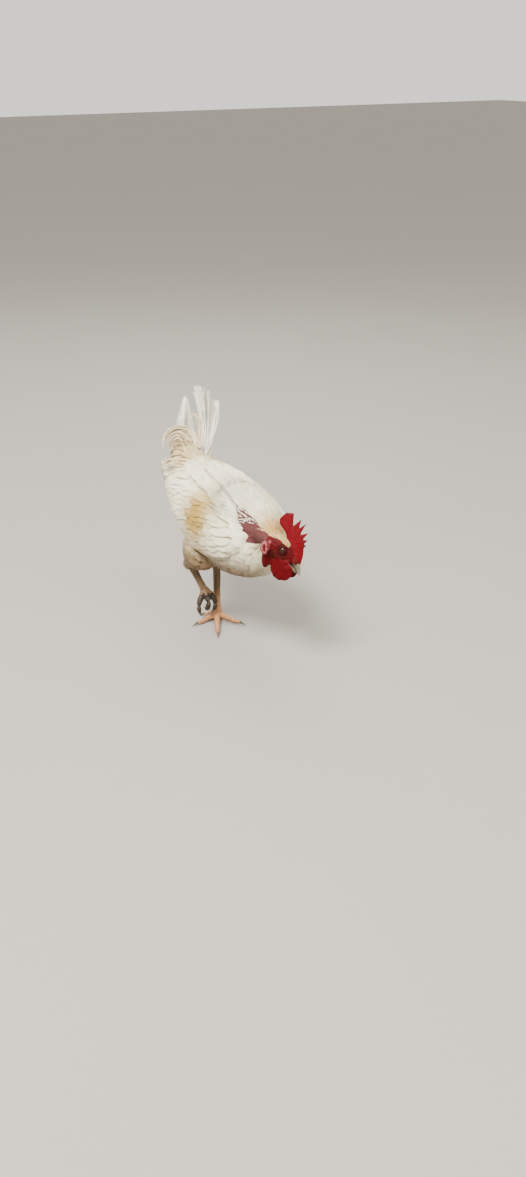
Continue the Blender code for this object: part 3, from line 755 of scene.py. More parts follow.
MATERIALS = {
    "flesh": mottled_material("flesh", 0.52, "Flesh", (240, 4), (0.82, 1.16), (0.44, 0.60), (0.0005, 0.5),
                              (0.00045, 0.7, 620, 2), (0.0002, 0.6, 1100, 2), Subsurface_Weight=0.08,
                              Subsurface_Scale=0.0010, Specular_IOR_Level=0.09),
    "contour": plume_material("contour_plume", 46, 1.1),
    "wing": plume_material("wing_plume", 46, 1.1, rim=0.76),
    "hackle": plume_material("hackle_plume", 60, 0.8, 0.1),
    "plume": plume_material("tail_plume", 4, 0.2),
    "horn": mottled_material("horn", 0.36, "Horn", (420, 4, (1, 1, 0.35)), (0.80, 1.15), (0.28, 0.48),
                             (0.00018, 0.6), Specular_IOR_Level=0.5),
    "eye": mottled_material("eye", 0.12, "Iris", (1800, 3), (0.75, 1.25), (0.06, 0.14), Coat_Weight=0.10,
                            Coat_Roughness=0.03, Specular_IOR_Level=0.25),
    "scale": mottled_material("scale", 0.45, "Scale", (170, 4), (0.80, 1.18), (0.34, 0.58), (0.0002, 0.6),
                              finer=(900, 3), Specular_IOR_Level=0.45)}

skin_mesh, skin_points, skin_quads, skin_owner = build_skin()
show("skin", skin_mesh, MATERIALS["flesh"], "face_red", *FEATHERED, *BARE)
skin_tree = tree_of(skin_points, skin_quads)
skin_ups = point_normals(skin_points, skin_quads)
hull_tree = tree_of(*joined(FEATHERED)[:2])


# ---------------------------------------------------------------- vanes
PATCH = 0.003                   # size of each vane's patch on its map


def sample(rows, share):
    """Values of each strand's rows (strand, row, ...) at shares (strand, ...) of its length."""
    last = rows.shape[1] - 1
    place = np.clip(share, 0, 1) * last
    low = np.minimum(place.astype(int), last - 1)
    part = (place - low)[..., None]
    strand = np.arange(len(rows)).reshape((-1,) + (1,) * (share.ndim - 1))
    return rows[strand, low] * (1 - part) + rows[strand, low + 1] * part


def shell_faces(rows, columns):
    """Quads of a closed vane: a top grid, and an underside that shares the top's border."""
    top = np.arange(rows * columns).reshape(rows, columns)
    under = top.copy()
    under[1:-1, 1:-1] = rows * columns + np.arange((rows - 2) * (columns - 2)).reshape(rows - 2, columns - 2)
    sheets = [np.stack([grid[:-1, :-1], grid[:-1, 1:], grid[1:, 1:], grid[1:, :-1]], -1).reshape(-1, 4)
              for grid in (top, under)]
    return np.concatenate([sheets[0], sheets[1][:, ::-1]])


def crease_gap(points):
    """How far each point is from the line where the cape parts from the wing."""
    gap = np.full(points.shape[:-1], 1.0)
    for low, high in zip(np.array(CREASE), np.array(CREASE)[1:]):
        away = from_segment(points, low, high)[1]
        gap = np.minimum(gap, np.hypot(away[..., 0], away[..., 1] * 0.8))
    return gap


class Coat:
    """Many closed vanes joined in one mesh, each with its patch on an unwrap of the skin."""

    def __init__(self, name):
        self.name = name
        self.parts = []

    def add(self, shaft, ups, half, root_map, colours, *, rows=6, columns=5, outline=None, thick=0.0003,
            cup=0.18, tip=0.3, ragged=0.0, wave=0.0, roll=0.0, shade=0.10):
        """Vanes along shafts (strand, row, 3), with the way up at each row and a half width each.

        outline(share) is the width along the length; tip rounds the end; ragged and wave break the
        edges; colours are one for each strand, darker at its root by shade as painted shade deep in the
        coat, or one for each strand at its root and its tip.
        """
        count = len(shaft)
        if count == 0:
            return
        ahead = unit(np.gradient(shaft, axis=1))
        side = unit(np.cross(ahead, ups))
        up = unit(np.cross(side, ahead))
        if np.any(roll):
            turn = np.broadcast_to(roll, (count,))[:, None, None]
            side, up = side * np.cos(turn) + up * np.sin(turn), up * np.cos(turn) - side * np.sin(turn)
        across = np.linspace(-1, 1, columns)
        along = shares(rows)
        reach = 1 - tip * np.abs(across) ** 2.2 - ragged * rng.random((count, columns))
        share = along[None, :, None] * reach[:, None, :]
        width = (outline(along) if outline else np.ones(rows))[None, :, None] * half[:, None, None]
        width = width * (1 + wobble(wave, count, rows, 1))
        middle, out, over = sample(shaft, share), sample(side, share), sample(up, share)
        aside = across[None, None, :] * width
        bend = cup * width * (across ** 2)[None, None, :]
        top = middle + out * aside[..., None] - over * bend[..., None]
        under = top[:, 1:-1, 1:-1] - over[:, 1:-1, 1:-1] * thick
        points = np.concatenate([top.reshape(count, -1, 3), under.reshape(count, -1, 3)], 1)
        patch = np.stack(np.broadcast_arrays((across[None] + 1) / 2, along[:, None]), -1)
        patch = np.concatenate([patch.reshape(-1, 2), patch[1:-1, 1:-1].reshape(-1, 2)])
        colours = np.asarray(colours, float)
        if colours.ndim == 2:
            # each strand darker at its root than at its tip: painted shade deep in the coat
            colours = np.stack([colours * (1 - shade), colours], 1)
        tone = sample(colours, np.broadcast_to(patch[:, 1], (count, len(patch))))
        # painted shade along the crease where the cape parts from the wing
        tone = mix(tone, CREASE_SHADE, 0.75 * hill(crease_gap(points), 0, CREASE_WIDTH)[..., None])
        border = np.arange(points.shape[1]) < rows * columns
        border[(np.arange(rows)[1:-1, None] * columns + np.arange(columns)[1:-1]).ravel()] = False
        self.parts.append((points, shell_faces(rows, columns), root_map, patch, tone, border))

    def build(self, surface, *nodes, slot="plumage", layer="Plume"):
        points, quads, baked, drawn, tones, borders = [], [], [], [], [], []
        start = 0
        for body, faces, root_map, patch, tone, border in self.parts:
            count, size = body.shape[:2]
            quads.append((faces[None] + (start + np.arange(count) * size)[:, None, None]).reshape(-1, 4))
            points.append(body.reshape(-1, 3))
            tones.append(tone.reshape(-1, 3))
            borders.append(np.tile(border, count))
            baked.append((root_map[:, None] + (patch[None] - 0.5) * PATCH).reshape(-1, 2))
            drawn.append(np.broadcast_to(patch, (count,) + patch.shape).reshape(-1, 2))
            start += count * size
        quads = np.concatenate(quads)
        mesh = quad_mesh(self.name, np.concatenate(points), quads)
        for name, where in (("OFBake", baked), ("Vane", drawn)):
            values = np.concatenate(where)[quads.ravel()].astype(np.float32)
            mesh.uv_layers.new(name=name, do_init=False).uv.foreach_set("vector", values.ravel())
        ends = np.empty(len(mesh.edges) * 2, np.int32)
        mesh.edges.foreach_get("vertices", ends)
        sharp = np.concatenate(borders)[ends.reshape(-1, 2)].all(1)
        mesh.attributes.new("sharp_edge", "BOOLEAN", "EDGE").data.foreach_set("value", sharp)
        paint(mesh, layer, np.concatenate(tones))
        show(self.name, mesh, MATERIALS[surface], slot, *nodes)
        print(self.name, len(quads) * 2, "triangles")


def contour(share):
    return 0.45 + 0.55 * np.sin(np.pi * np.clip(share, 0, 1) ** 0.8 * 0.62)


def lance(share):
    swell = 0.55 + 0.45 * np.sin(np.pi * np.minimum(0.5, share * 1.3))
    return swell * (1 - smoothstep(0.40, 1.02, share) * 0.93)


def blade(share):
    return 0.40 + 0.60 * smoothstep(0, 0.35, share) - 0.16 * smoothstep(0.8, 1.0, share)


def sliver(share):
    return 1.0 - 0.85 * share


# ---------------------------------------------------------------- laying feathers on the skin
COAT_REACH = 0.030              # the solids reach less than this above the skin
NEIGHBOURS = [(i, j, k) for i in (0, -1, 1) for j in (0, -1, 1) for k in (0, -1, 1)]


def touch(points):
    """The skin's nearest place to each point: place, way out, the node it belongs to."""
    found = [skin_tree.find_nearest(p) for p in points.tolist()]
    quads = skin_quads[np.array([f[2] for f in found])]
    return np.array([f[0][:] for f in found]), unit(skin_ups[quads].mean(1)), skin_owner[quads[:, 0]]


def struck(starts, ways, reach):
    """Places of the skin that rays meet, and the numbers of those rays."""
    found = rays(skin_tree, starts, ways, reach)
    kept = np.array([k for k, (spot, _) in enumerate(found) if spot is not None], int)
    return np.array([found[k][0][:] for k in kept]), kept


def coat_depth(points, ups):
    """How far the solids reach above the skin."""
    depth = np.full(len(points), 0.004)
    for k, (spot, gap) in enumerate(rays(hull_tree, points + ups * COAT_REACH, -ups, COAT_REACH)):
        if spot is not None:
            depth[k] = COAT_REACH - gap
    return np.clip(depth, 0.0012, 0.013)


def risen(share):
    """How high in the coat a feather lies along its length."""
    return 0.12 + 0.88 * (1 - (1 - share) ** 2.6)


def lay(roots, lengths, flow, steps, rise=risen, above=0.0, swerve=0.0):
    """Shafts that leave the skin at their roots and follow it the way the coat lies."""
    count = len(roots)
    shaft, ups = np.zeros((count, steps, 3)), np.zeros((count, steps, 3))
    at, heading = roots.copy(), None
    for k in range(steps):
        spot, up, _ = touch(at)
        way = unit(flow(spot))
        if heading is None:
            heading = way
            if np.any(swerve):
                heading = unit(heading + np.cross(up, heading) * np.asarray(swerve).reshape(-1, 1))
        else:
            heading = unit(mix(heading, way, 0.55))
        heading = unit(heading - up * np.sum(up * heading, 1, keepdims=True))
        share = k / (steps - 1)
        height = coat_depth(spot, up) * rise(share) + above * share
        shaft[:, k] = spot + up * np.asarray(height).reshape(-1, 1)
        ups[:, k] = up
        at = spot + heading * (lengths / (steps - 1))[:, None] + up * 0.001
    evened(shaft.swapaxes(0, 1))
    return shaft, ups


def scattered(gap, wanted):
    """Places on the skin at least a gap apart, where wanted(places, owner) holds, and their nodes."""
    corners = skin_points[skin_quads]
    middles, owner = corners.mean(1), skin_owner[skin_quads[:, 0]]
    area = length_of(np.cross(corners[:, 2] - corners[:, 0], corners[:, 3] - corners[:, 1])) / 2
    share = np.where(wanted(middles, owner), area, 0)
    tries = int(7 * share.sum() / gap ** 2)
    picked = rng.choice(len(share), tries, p=share / share.sum())
    part = rng.random((2, tries, 1))
    one = mix(corners[picked, 0], corners[picked, 1], part[0])
    two = mix(corners[picked, 3], corners[picked, 2], part[0])
    spots = mix(one, two, part[1])
    cells, kept = {}, []
    for k, spot in enumerate(spots.tolist()):
        cell = tuple(int(c // gap) for c in spot)
        others = (other for step in NEIGHBOURS
                  for other in cells.get((cell[0] + step[0], cell[1] + step[1], cell[2] + step[2]), ()))
        if all(sum((a - b) ** 2 for a, b in zip(spot, other)) >= gap * gap for other in others):
            cells.setdefault(cell, []).append(spot)
            kept.append(k)
    return spots[kept], owner[picked[kept]]


def unrolled(points, start, end):
    """Places on an unwrap of the skin rolled round a line: along it, and round it."""
    start, end = np.asarray(start, float), np.asarray(end, float)
    axis = unit(end - start)
    first = unit(np.cross(axis, (0.31, 0.11, 0.94)))
    second = np.cross(axis, first)
    away = points - start
    along = np.clip(away @ axis / np.linalg.norm(end - start), 0, 1)
    around = np.arctan2(away @ second, away @ first) / (2 * math.pi) % 1.0
    return np.stack([0.03 + 0.94 * along, 0.03 + 0.94 * around], 1)


def varied(tones, amount=0.05):
    return tones * (1 + wobble(amount, len(tones), 1))


# ---------------------------------------------------------------- the lie of the coat
DROOP = {"left": 0.15, "right": 0.30}   # how steeply the rows of each wing fall towards the back


def node_box(name):
    return (np.array(corner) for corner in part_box(name))


trunk_low, trunk_high = node_box("trunk")
_, neck_high = node_box("neck")
root_low, root_high = node_box("tail_root")
shoulders = np.array((0.0, neck_high[1] - 0.010, neck_high[2] - 0.052))
nape = head_centre - head_ahead * 0.032
neck_way = unit(shoulders - nape)
tail_base = np.array(((root_low[0] + root_high[0]) / 2, root_high[1] - 0.016, root_high[2]))
hocks = {}
for side_name, _ in SIDES:
    shank = welded("shank_" + side_name)[0]
    hocks[side_name] = shank[shank[:, 2] > shank[:, 2].max() - 0.006].mean(0)


def wing_edges(name):
    """The wing's lower and upper edge as heights along its length: a function of y."""
    points = welded(name)[0]
    stops = np.linspace(points[:, 1].min() + 0.004, points[:, 1].max() - 0.004, 14)
    rows = [points[np.abs(points[:, 1] - y) < 0.012][:, 2] for y in stops]
    low, high = np.array([r.min() for r in rows]), np.array([r.max() for r in rows])
    return lambda y: (np.interp(y, stops, low), np.interp(y, stops, high))


WING_SPAN = {side: wing_edges("wing_" + side) for side, _ in SIDES}


def up_the_wing(side, spots):
    """How far each place lies up the wing from its lower edge, and that edge."""
    low, high = WING_SPAN[side](spots[:, 1])
    return (spots[:, 2] - low) / np.maximum(high - low, 0.01), low


def flow_body(spots):
    """Backwards over the trunk, down from the throat in front, and out over the rump."""
    source = nape + np.array((0, 0.02, -0.02))
    front = 1 - smoothstep(-0.150, -0.060, spots[:, 1])[:, None]
    back = np.tile(unit(np.array((0, 1, -0.16))), (len(spots), 1))
    return unit(mix(back, unit(spots - source), 0.25 + 0.65 * front))


def flow_saddle(spots):
    """Up to the tail along the midline, out and down over the sides."""
    x = spots[:, 0] - tail_base[0]
    aside = np.clip(x / 0.020, -1, 1)
    up = unit(tail_base + np.array((0, 0.004, 0.02)) - spots)
    down = np.stack([aside * 0.75, np.full(len(x), 0.62), np.full(len(x), -0.40)], 1)
    return unit(mix(up, down, smoothstep(0.1, 0.75, np.abs(aside))[:, None]))


def flow_neck(spots):
    source = nape - neck_way * 0.055
    return unit(unit(spots - source) + neck_way * 0.5)


def flow_wing(side):
    """Along the lower edge, and with the droop of its rows further up."""
    def flow(spots):
        share, low = up_the_wing(side, spots)
        slope = (WING_SPAN[side](spots[:, 1] + 0.01)[0] - low) / 0.01
        tilt = mix(slope, -DROOP[side], smoothstep(0.05, 0.45, share))
        return unit(np.stack([np.zeros(len(spots)), np.ones(len(spots)), tilt], 1))
    return flow


def flow_thigh(side):
    def flow(spots):
        return unit(unit(hocks[side] + np.array((0, 0.012, -0.004)) - spots) + np.array((0, 0.25, -0.1)))
    return flow


# ---------------------------------------------------------------- the coat of the body
BARB_HALF = 0.00030             # half the width of a loose barb
# gaps between the roots of each tract, and along and between the rows of the wings
GAPS = {"trunk": 0.0060, "saddle": 0.0046, "thigh": 0.0046, "neck": 0.0027, "crown": 0.0012,
        "face": 0.0032, "patch": 0.0034}
WING_ROOT_GAP, WING_ROW_GAP = 0.0125, 0.0072
SADDLE_FROM = (0.030, 0.222)    # the y and z beyond which the trunk bears the saddle's feathers
BREAST_TO = -0.085              # the trunk's feathers before this y are the breast's
COVERT_BAND = 0.030             # the tail's coverts grow on this much of the tail root's top
WING_EDGE, FLIGHT_TO = 0.25, 0.045      # the lower share of each wing, and the y where its feathers shorten
WING_RAY = 0.12                 # rays onto the wings come from this far out
# how far down the neck the later tracts of hackles start, and each tract's length, half width and height
HACKLE_STARTS = (0.012, 0.030, 0.055)
HACKLES = ((0.010, 0.0013, 0.0), (0.018, 0.0017, 0.0003), (0.029, 0.0022, 0.0008), (0.042, 0.0028, 0.0014))
SLENDER = {"outline": lance, "columns": 5}


def fringe(coat, shaft, ups, half, maps, tones, each, length):
    """Loose barbs that stand out along the tips of feathers."""
    pick = np.repeat(np.arange(len(shaft)), each)

    def at(rows, share):
        return sample(rows[pick], share[:, None])[:, 0]

    across = rng.uniform(-1, 1, len(pick))
    start = rng.uniform(0.62, 0.93, len(pick)) * (1 - 0.22 * np.abs(across))
    ahead = unit(at(shaft, start + 0.08) - at(shaft, start - 0.08))
    up = at(ups, start)
    side = unit(np.cross(ahead, up))
    base = at(shaft, start) + side * (across * half[pick] * 0.85)[:, None]
    fan = across * 0.62 + wobble(0.18, len(pick))
    way = unit(ahead * np.cos(fan)[:, None] + side * np.sin(fan)[:, None]
               + up * rng.uniform(-0.06, 0.07, len(pick))[:, None])
    reach = (length * rng.uniform(0.45, 0.95, len(pick)))[:, None]
    curl = wobble(0.18, len(pick), 1, 1)
    step = shares(3)[:, None]
    path = base[:, None] + (way * reach)[:, None] * step + (side * reach)[:, None] * curl * step ** 2 \
        - (up * reach)[:, None] * 0.12 * step ** 2
    coat.add(path, np.repeat(up[:, None], 3, 1), np.full(len(pick), BARB_HALF), maps[pick], tones[pick],
             rows=3, columns=3, outline=sliver, cup=0.0, tip=0.0, shade=0.0, thick=0.00012)


def plumage(coat, chosen, roots, maps, flow, length, half, *, outline=contour, rows=7, columns=7, tip=0.34,
            ragged=0.07, above=0.0, swerve=0.10, each=4, wisp=0.0075, steps=5, roll=0.0):
    """One tract of feathers on a coat: none where the skin is bare, and each with loose barbs."""
    at, where = roots[chosen], maps[chosen]
    count = len(at)
    if count == 0:
        return
    lengths = length * np.clip(1 + wobble(0.12, count), 0.6, 1.5)
    halves = half * np.clip(1 + wobble(0.10, count), 0.7, 1.4)
    shaft, ups = lay(at, lengths, flow, steps, above=above + wobble(0.0005, count),
                     swerve=wobble(swerve, count))
    ends = shaft[:, steps // 2:].reshape(-1, 3)
    clear = np.maximum(near_patch(ends), near_face(ends)).reshape(count, -1).max(1) < 0.5
    shaft, ups, halves, where = shaft[clear], ups[clear], halves[clear], where[clear]
    shades = 1 + wobble(0.035, len(shaft), 1, 1)
    # the middle of each feather darker than its tip: painted shade deep in the coat
    tones = np.stack([plume_tones(shaft[:, steps // 2]) * 0.90, plume_tones(shaft[:, -1])], 1) * shades
    coat.add(shaft, ups, halves, where, tones, rows=rows, columns=columns, outline=outline, tip=tip,
             ragged=ragged, wave=0.05, roll=roll + wobble(0.06, len(shaft)), cup=0.09)
    if len(shaft):
        fringe(coat, shaft, ups, halves, where, tones[:, 1], each, wisp)


def one_coat(name, surface, *tract, **shape):
    """A piece of a single tract."""
    coat = Coat(name)
    plumage(coat, *tract, **shape)
    coat.build(surface)


def wing_rows(side, sign):
    """Roots in rows along the wing, so that the edges of its feathers make long lines."""
    low, high = node_box("wing_" + side)
    starts = []
    for row in range(int((high[2] - low[2] + DROOP[side] * (high[1] - low[1])) / WING_ROW_GAP)):
        for step in range(int((high[1] - low[1]) / WING_ROOT_GAP) + 1):
            y = low[1] + WING_ROOT_GAP * (step + 0.5 * (row % 2) + 0.14 * rng.normal())
            z = high[2] + WING_ROW_GAP * (0.10 * rng.normal() - row) + DROOP[side] * (high[1] - y)
            starts.append((sign * WING_RAY, y, z))
    inwards = np.tile((-sign, 0.0, 0.0), (len(starts), 1))
    spots, _, owner = touch(struck(np.array(starts), inwards, WING_RAY)[0])
    return spots[owner == "wing_" + side]


def coat_of_body():
    """Breast, trunk, saddle with the tail's coverts, and wings."""
    line = ((0, trunk_low[1] + 0.004, 0.175), (0, trunk_high[1] - 0.002, trunk_high[2] - 0.022))

    def saddle(places, owner):
        behind = (places[:, 1] > SADDLE_FROM[0]) & (places[:, 2] > SADDLE_FROM[1])
        return (owner == "tail_root") | ((owner == "trunk") & behind)

    roots, _ = scattered(GAPS["trunk"], lambda places, owner: (owner == "trunk") & ~saddle(places, owner))
    maps = unrolled(roots, *line)
    front = roots[:, 1] < BREAST_TO
    one_coat("coat_breast", "contour", front, roots, maps, flow_body, 0.026, 0.0078, ragged=0.12, each=16,
             above=0.0006, rows=8, columns=10)
    one_coat("coat_trunk", "contour", ~front, roots, maps, flow_body, 0.028, 0.0076, ragged=0.12, each=12)

    roots, owner = scattered(GAPS["saddle"], saddle)
    maps = unrolled(roots, *line)
    coat = Coat("coat_saddle")
    plumage(coat, np.full(len(roots), True), roots, maps, flow_saddle, 0.044, 0.0043, **SLENDER, rows=9,
            steps=7, ragged=0.05, each=5, above=0.0012, swerve=0.14, tip=0.30, wisp=0.007)
    coverts = (owner == "tail_root") & (roots[:, 2] > root_high[2] - COVERT_BAND)
    for above in (0.0030, 0.0055):
        plumage(coat, coverts, roots, maps, flow_saddle, 0.036, 0.0034, **SLENDER, rows=8, steps=6,
                ragged=0.06, each=3, above=above, swerve=0.25, tip=0.35, wisp=0.006)
    coat.build("hackle")

    for side, sign in SIDES:
        roots = wing_rows(side, sign)
        maps = unrolled(roots, *line)
        coat, flow = Coat("coat_wing_" + side), flow_wing(side)
        edge = up_the_wing(side, roots)[0] <= WING_EDGE
        fore = roots[:, 1] < FLIGHT_TO
        plumage(coat, ~edge, roots, maps, flow, 0.037, 0.0084, ragged=0.09, each=6, wisp=0.006, rows=11,
                columns=11, steps=6, swerve=0.035, roll=0.20 * sign)
        for chosen, length, half, rows, steps in ((edge & fore, 0.050, 0.0076, 9, 7),
                                                  (edge & ~fore, 0.030, 0.0066, 8, 6)):
            plumage(coat, chosen, roots, maps, flow, length, half, outline=blade, ragged=0.03, each=2,
                    rows=rows, steps=steps, above=0.0006, swerve=0.03, tip=0.22, wisp=0.004, roll=0.08 * sign)
        coat.build("wing")


def coat_of_neck():
    """Hackles: slender feathers from the nape that lengthen into the cape over the shoulders."""
    def covered(places, owner):
        return (owner == "neck") & (near_patch(places) < PATCH_BARE) & (near_face(places) < 0.5)

    roots, _ = scattered(GAPS["neck"], covered)
    maps = unrolled(roots, nape - neck_way * 0.02, shoulders)
    tract = np.searchsorted(HACKLE_STARTS, (roots - nape) @ neck_way, side="right")
    coat = Coat("coat_hackles")
    for number, (length, half, above) in enumerate(HACKLES):
        plumage(coat, tract == number, roots, maps, flow_neck, length, half, **SLENDER, steps=6,
                ragged=0.10, each=2, above=above, swerve=0.12, tip=0.45, wisp=0.0045)
    coat.build("hackle")


def coat_of_thighs():
    for side, _ in SIDES:
        hip = centre_of("thigh_" + side) + np.array((0, 0, 0.035))
        roots, _ = scattered(GAPS["thigh"], lambda places, owner: owner == "thigh_" + side)
        one_coat("coat_thigh_" + side, "contour", np.full(len(roots), True), roots,
                 unrolled(roots, hip, hocks[side]), flow_thigh(side), 0.019, 0.0050,
                 ragged=0.16, each=12, wisp=0.007, rows=6, columns=5)


# ---------------------------------------------------------------- bristles, horn, eyes and scales
def small_shafts(roots, lengths, flow, steps, rise, above, swerve):
    """Shafts of lengths between two, for small feathers and hairs."""
    return lay(roots, rng.uniform(*lengths, len(roots)), flow, steps, lambda share: rise * share, above,
               wobble(swerve, len(roots)))


def bristles():
    """Small feathers of the crown and nape, hairs on the face, and pin feathers in the bare patch."""
    line = (head_centre - head_left * 0.02, head_centre + head_left * 0.02)

    def behind(places, owner):
        _, ahead, crown = to_head(places).T
        return (owner == "head") & (ahead < 0.0035) & (crown > np.interp(ahead, *FACE_EDGE))

    def face(places, owner):
        return (owner == "head") & ~behind(places, owner) & (np.hypot(*to_head(places)[:, 1:].T) > 0.0075)

    def upper_patch(places, owner):
        height = places[:, 2] + 0.3 * places[:, 1]
        bare = (owner == "neck") & (near_patch(places) >= PATCH_BARE)
        return bare & (height > 0.176 + 0.010 * grain(places, 0.012, 30))

    def away(spots):
        return unit(unit(spots - from_head((0, 0.045, 0.0))) - head_ahead * 0.8)

    coat = Coat("coat_head")
    roots, _ = scattered(GAPS["crown"], behind)
    shaft, ups = small_shafts(roots, (0.0045, 0.0080), away, 4, 0.12, 0.0008, 0.25)
    tones = varied(mix(CREAM, WHITE, 0.15 * rng.random((len(roots), 1))), 0.07)
    coat.add(shaft, ups, rng.uniform(0.0005, 0.0009, len(roots)), unrolled(roots, *line), tones, rows=4,
             columns=3, outline=lance, tip=0.2, cup=0.2, shade=0.18)
    roots, _ = scattered(GAPS["face"], face)
    shaft, ups = small_shafts(roots, (0.0015, 0.0035), away, 3, 0.0, 0.0010, 0.4)
    tones = np.tile(mix(CREAM, FACE_RED, 0.80), (len(roots), 1))
    coat.add(shaft, ups, np.full(len(roots), 0.00010), unrolled(roots, *line), tones, rows=3, columns=3,
             outline=sliver, tip=0.0, cup=0.0)
    coat.build("hackle")

    coat = Coat("pin_feathers")
    roots, _ = scattered(GAPS["patch"], upper_patch)
    shaft, ups = small_shafts(roots, (0.004, 0.011), flow_neck, 4, 0.2, 0.0010, 0.45)
    halves = rng.uniform(0.0004, 0.0011, len(roots))
    tones = varied(mix(WHITE, BARE_MAUVE, 0.25 * rng.random((len(roots), 1))), 0.06)
    coat.add(shaft, ups, halves, unrolled(roots, nape, shoulders), tones, rows=4, columns=3, outline=lance,
             tip=0.2, cup=0.3)
    coat.build("hackle")


def dressed_beak(name, points, normals):
    """Half of the bill, dark at its base, pale ahead and along its ridge; the upper one has nostrils."""
    side, ahead, crown = to_head(points).T
    upper = name == "beak_upper"
    pale = 0.22 + 0.25 * smoothstep(0.016, 0.040, ahead) + 0.75 * hill(side, 0, 0.0022) * upper
    colours = mix(DARK_HORN, PALE_HORN, pale.clip(0, 1)[:, None])
    scratches = grain(to_head(points) * (1, 0.3, 1), 0.0016, 12)
    if upper:
        beside = crown[np.abs(ahead - NOSTRIL_AHEAD) < 0.002]
        level = mix(beside.min(), beside.max(), 0.52)
        nostril = hill(ahead, NOSTRIL_AHEAD, 0.0019) * hill(crown, level, 0.00085) * (np.abs(side) > 0.0012)
        points = points - normals * (0.0011 * nostril)[:, None]
        # the nostrils painted nearly black: painted shade inside their openings
        colours = mix(colours, DARK_HORN * 0.25, (0.9 * nostril)[:, None])
    return points + normals * (0.00012 * scratches)[:, None], colours


def horn():
    """The bill, the claws and the spurs, which grow paler towards their tips."""
    for name in HORN:
        beak = name.startswith("beak")
        points, quads = remeshed(*welded(name), HORN_VOXEL)
        points = relax(points, edges_of(quads), 0.5, 8 if beak else 6, swell=1.04)
        if beak:
            points, colours = dressed_beak(name, points, point_normals(points, quads))
        else:
            centre = centre_of(name)
            bearer = centre_of(name.replace("claw", "toe").replace("spur", "shank"))
            along = (points - centre) @ unit(centre - bearer)
            along = (along - along.min()) / np.ptp(along)
            colours = mix(DARK_HORN * 0.9, PALE_HORN * 0.9, along[:, None])
        mesh = quad_mesh(name, points, quads)
        paint(mesh, "Horn", colours)
        show(name, mesh, MATERIALS["horn"], "horn", name)


# from the eye's axis outwards: the pupil's edge, the iris's bright ring (middle, width), the dark rim's edge
PUPIL_EDGE, IRIS_RING, LIMBUS_EDGE = (0.00200, 0.00225), (0.0023, 0.0003), (0.0030, 0.0036)


def eyes():
    """Eyeballs with a bulging cornea, a round pupil, an amber iris and a dark rim."""
    rings, spokes = 40, 48
    dip = np.linspace(0, math.pi, rings + 1)[1:-1]
    turn = np.linspace(0, 2 * math.pi, spokes, endpoint=False)[None, :, None]
    radius = EYE_BALL + 0.0005 * hill(dip, 0, 0.42)
    from_axis = np.concatenate([np.repeat(np.sin(dip) * EYE_BALL, spokes), [0, 0]])
    tone = mix(PUPIL, IRIS, smoothstep(*PUPIL_EDGE, from_axis)[:, None])
    tone = mix(tone, IRIS * (1.3, 1.4, 1.4), (hill(from_axis, *IRIS_RING) * 0.6)[:, None])
    tone = mix(tone, LIMBUS, smoothstep(*LIMBUS_EDGE, from_axis)[:, None])
    for side, sign in SIDES:
        out = head_left * sign
        ahead = unit(head_ahead - out * (head_ahead @ out))
        round_axis = np.cos(turn) * ahead + np.sin(turn) * np.cross(out, ahead)
        ball = np.cos(dip)[:, None, None] * out + np.sin(dip)[:, None, None] * round_axis
        ball = (radius[:, None, None] * ball).reshape(-1, 3)
        points = np.concatenate([ball, [out * radius[0], -out * radius[-1]]]) + eye_places[side]
        grid = np.arange(len(ball)).reshape(-1, spokes)
        after = np.roll(grid, -1, 1)
        faces = np.stack([grid[:-1], grid[1:], after[1:], after[:-1]], -1).reshape(-1, 4).tolist()
        faces += [(len(ball), a, b) for a, b in zip(grid[0].tolist(), after[0].tolist())]
        faces += [(len(ball) + 1, b, a) for a, b in zip(grid[-1].tolist(), after[-1].tolist())]
        mesh = bpy.data.meshes.new("eye_" + side)
        mesh.from_pydata(points.tolist(), [], faces)
        mesh.shade_smooth()
        paint(mesh, "Iris", tone)
        show("eye_" + side, mesh, MATERIALS["eye"], "eye", "eye_" + side)


# rows of scales: turn round the leg from its front in degrees, gap along it, half width, lag in gaps;
# and turn round a toe from its top, half width
SHANK_ROWS = ((-24, 0.0034, 0.0023, 0.0), (24, 0.0034, 0.0023, 0.5), (-68, 0.0030, 0.0019, 0.2),
              (68, 0.0030, 0.0019, 0.7), (-108, 0.0024, 0.0015, 0.1), (108, 0.0024, 0.0015, 0.6),
              (-142, 0.0022, 0.0013, 0.4), (142, 0.0022, 0.0013, 0.9), (180, 0.0024, 0.0015, 0.5))
TOE_ROWS = ((0, 0.0026), (-58, 0.0016), (58, 0.0016), (-100, 0.0012), (100, 0.0012))
TOE_SCALE_GAP, TOE_SCALE_LENGTH = 0.0027, 0.0034
SHANK_RAY, TOE_RAY = 0.03, 0.012        # rays onto the shanks and the toes come from this far out


def plates(coat, spots, heading, length, half, tone, maps):
    """Scales that lie flat on the skin, all along one heading or each along its own."""
    count = len(spots)
    if count == 0:
        return
    shaft, ups = lay(spots, np.full(count, length), lambda at: np.broadcast_to(heading, at.shape), 4,
                     lambda share: 0.0, 0.00045)
    halves = np.full(count, half) * rng.uniform(0.92, 1.06, count)
    coat.add(shaft - ups * 0.0001, ups, halves, maps, varied(np.broadcast_to(tone, (count, 3)), 0.09), rows=5,
             columns=7, outline=lambda share: 0.86 + 0.14 * np.sin(np.pi * share), tip=0.28, cup=0.30,
             shade=0.25)


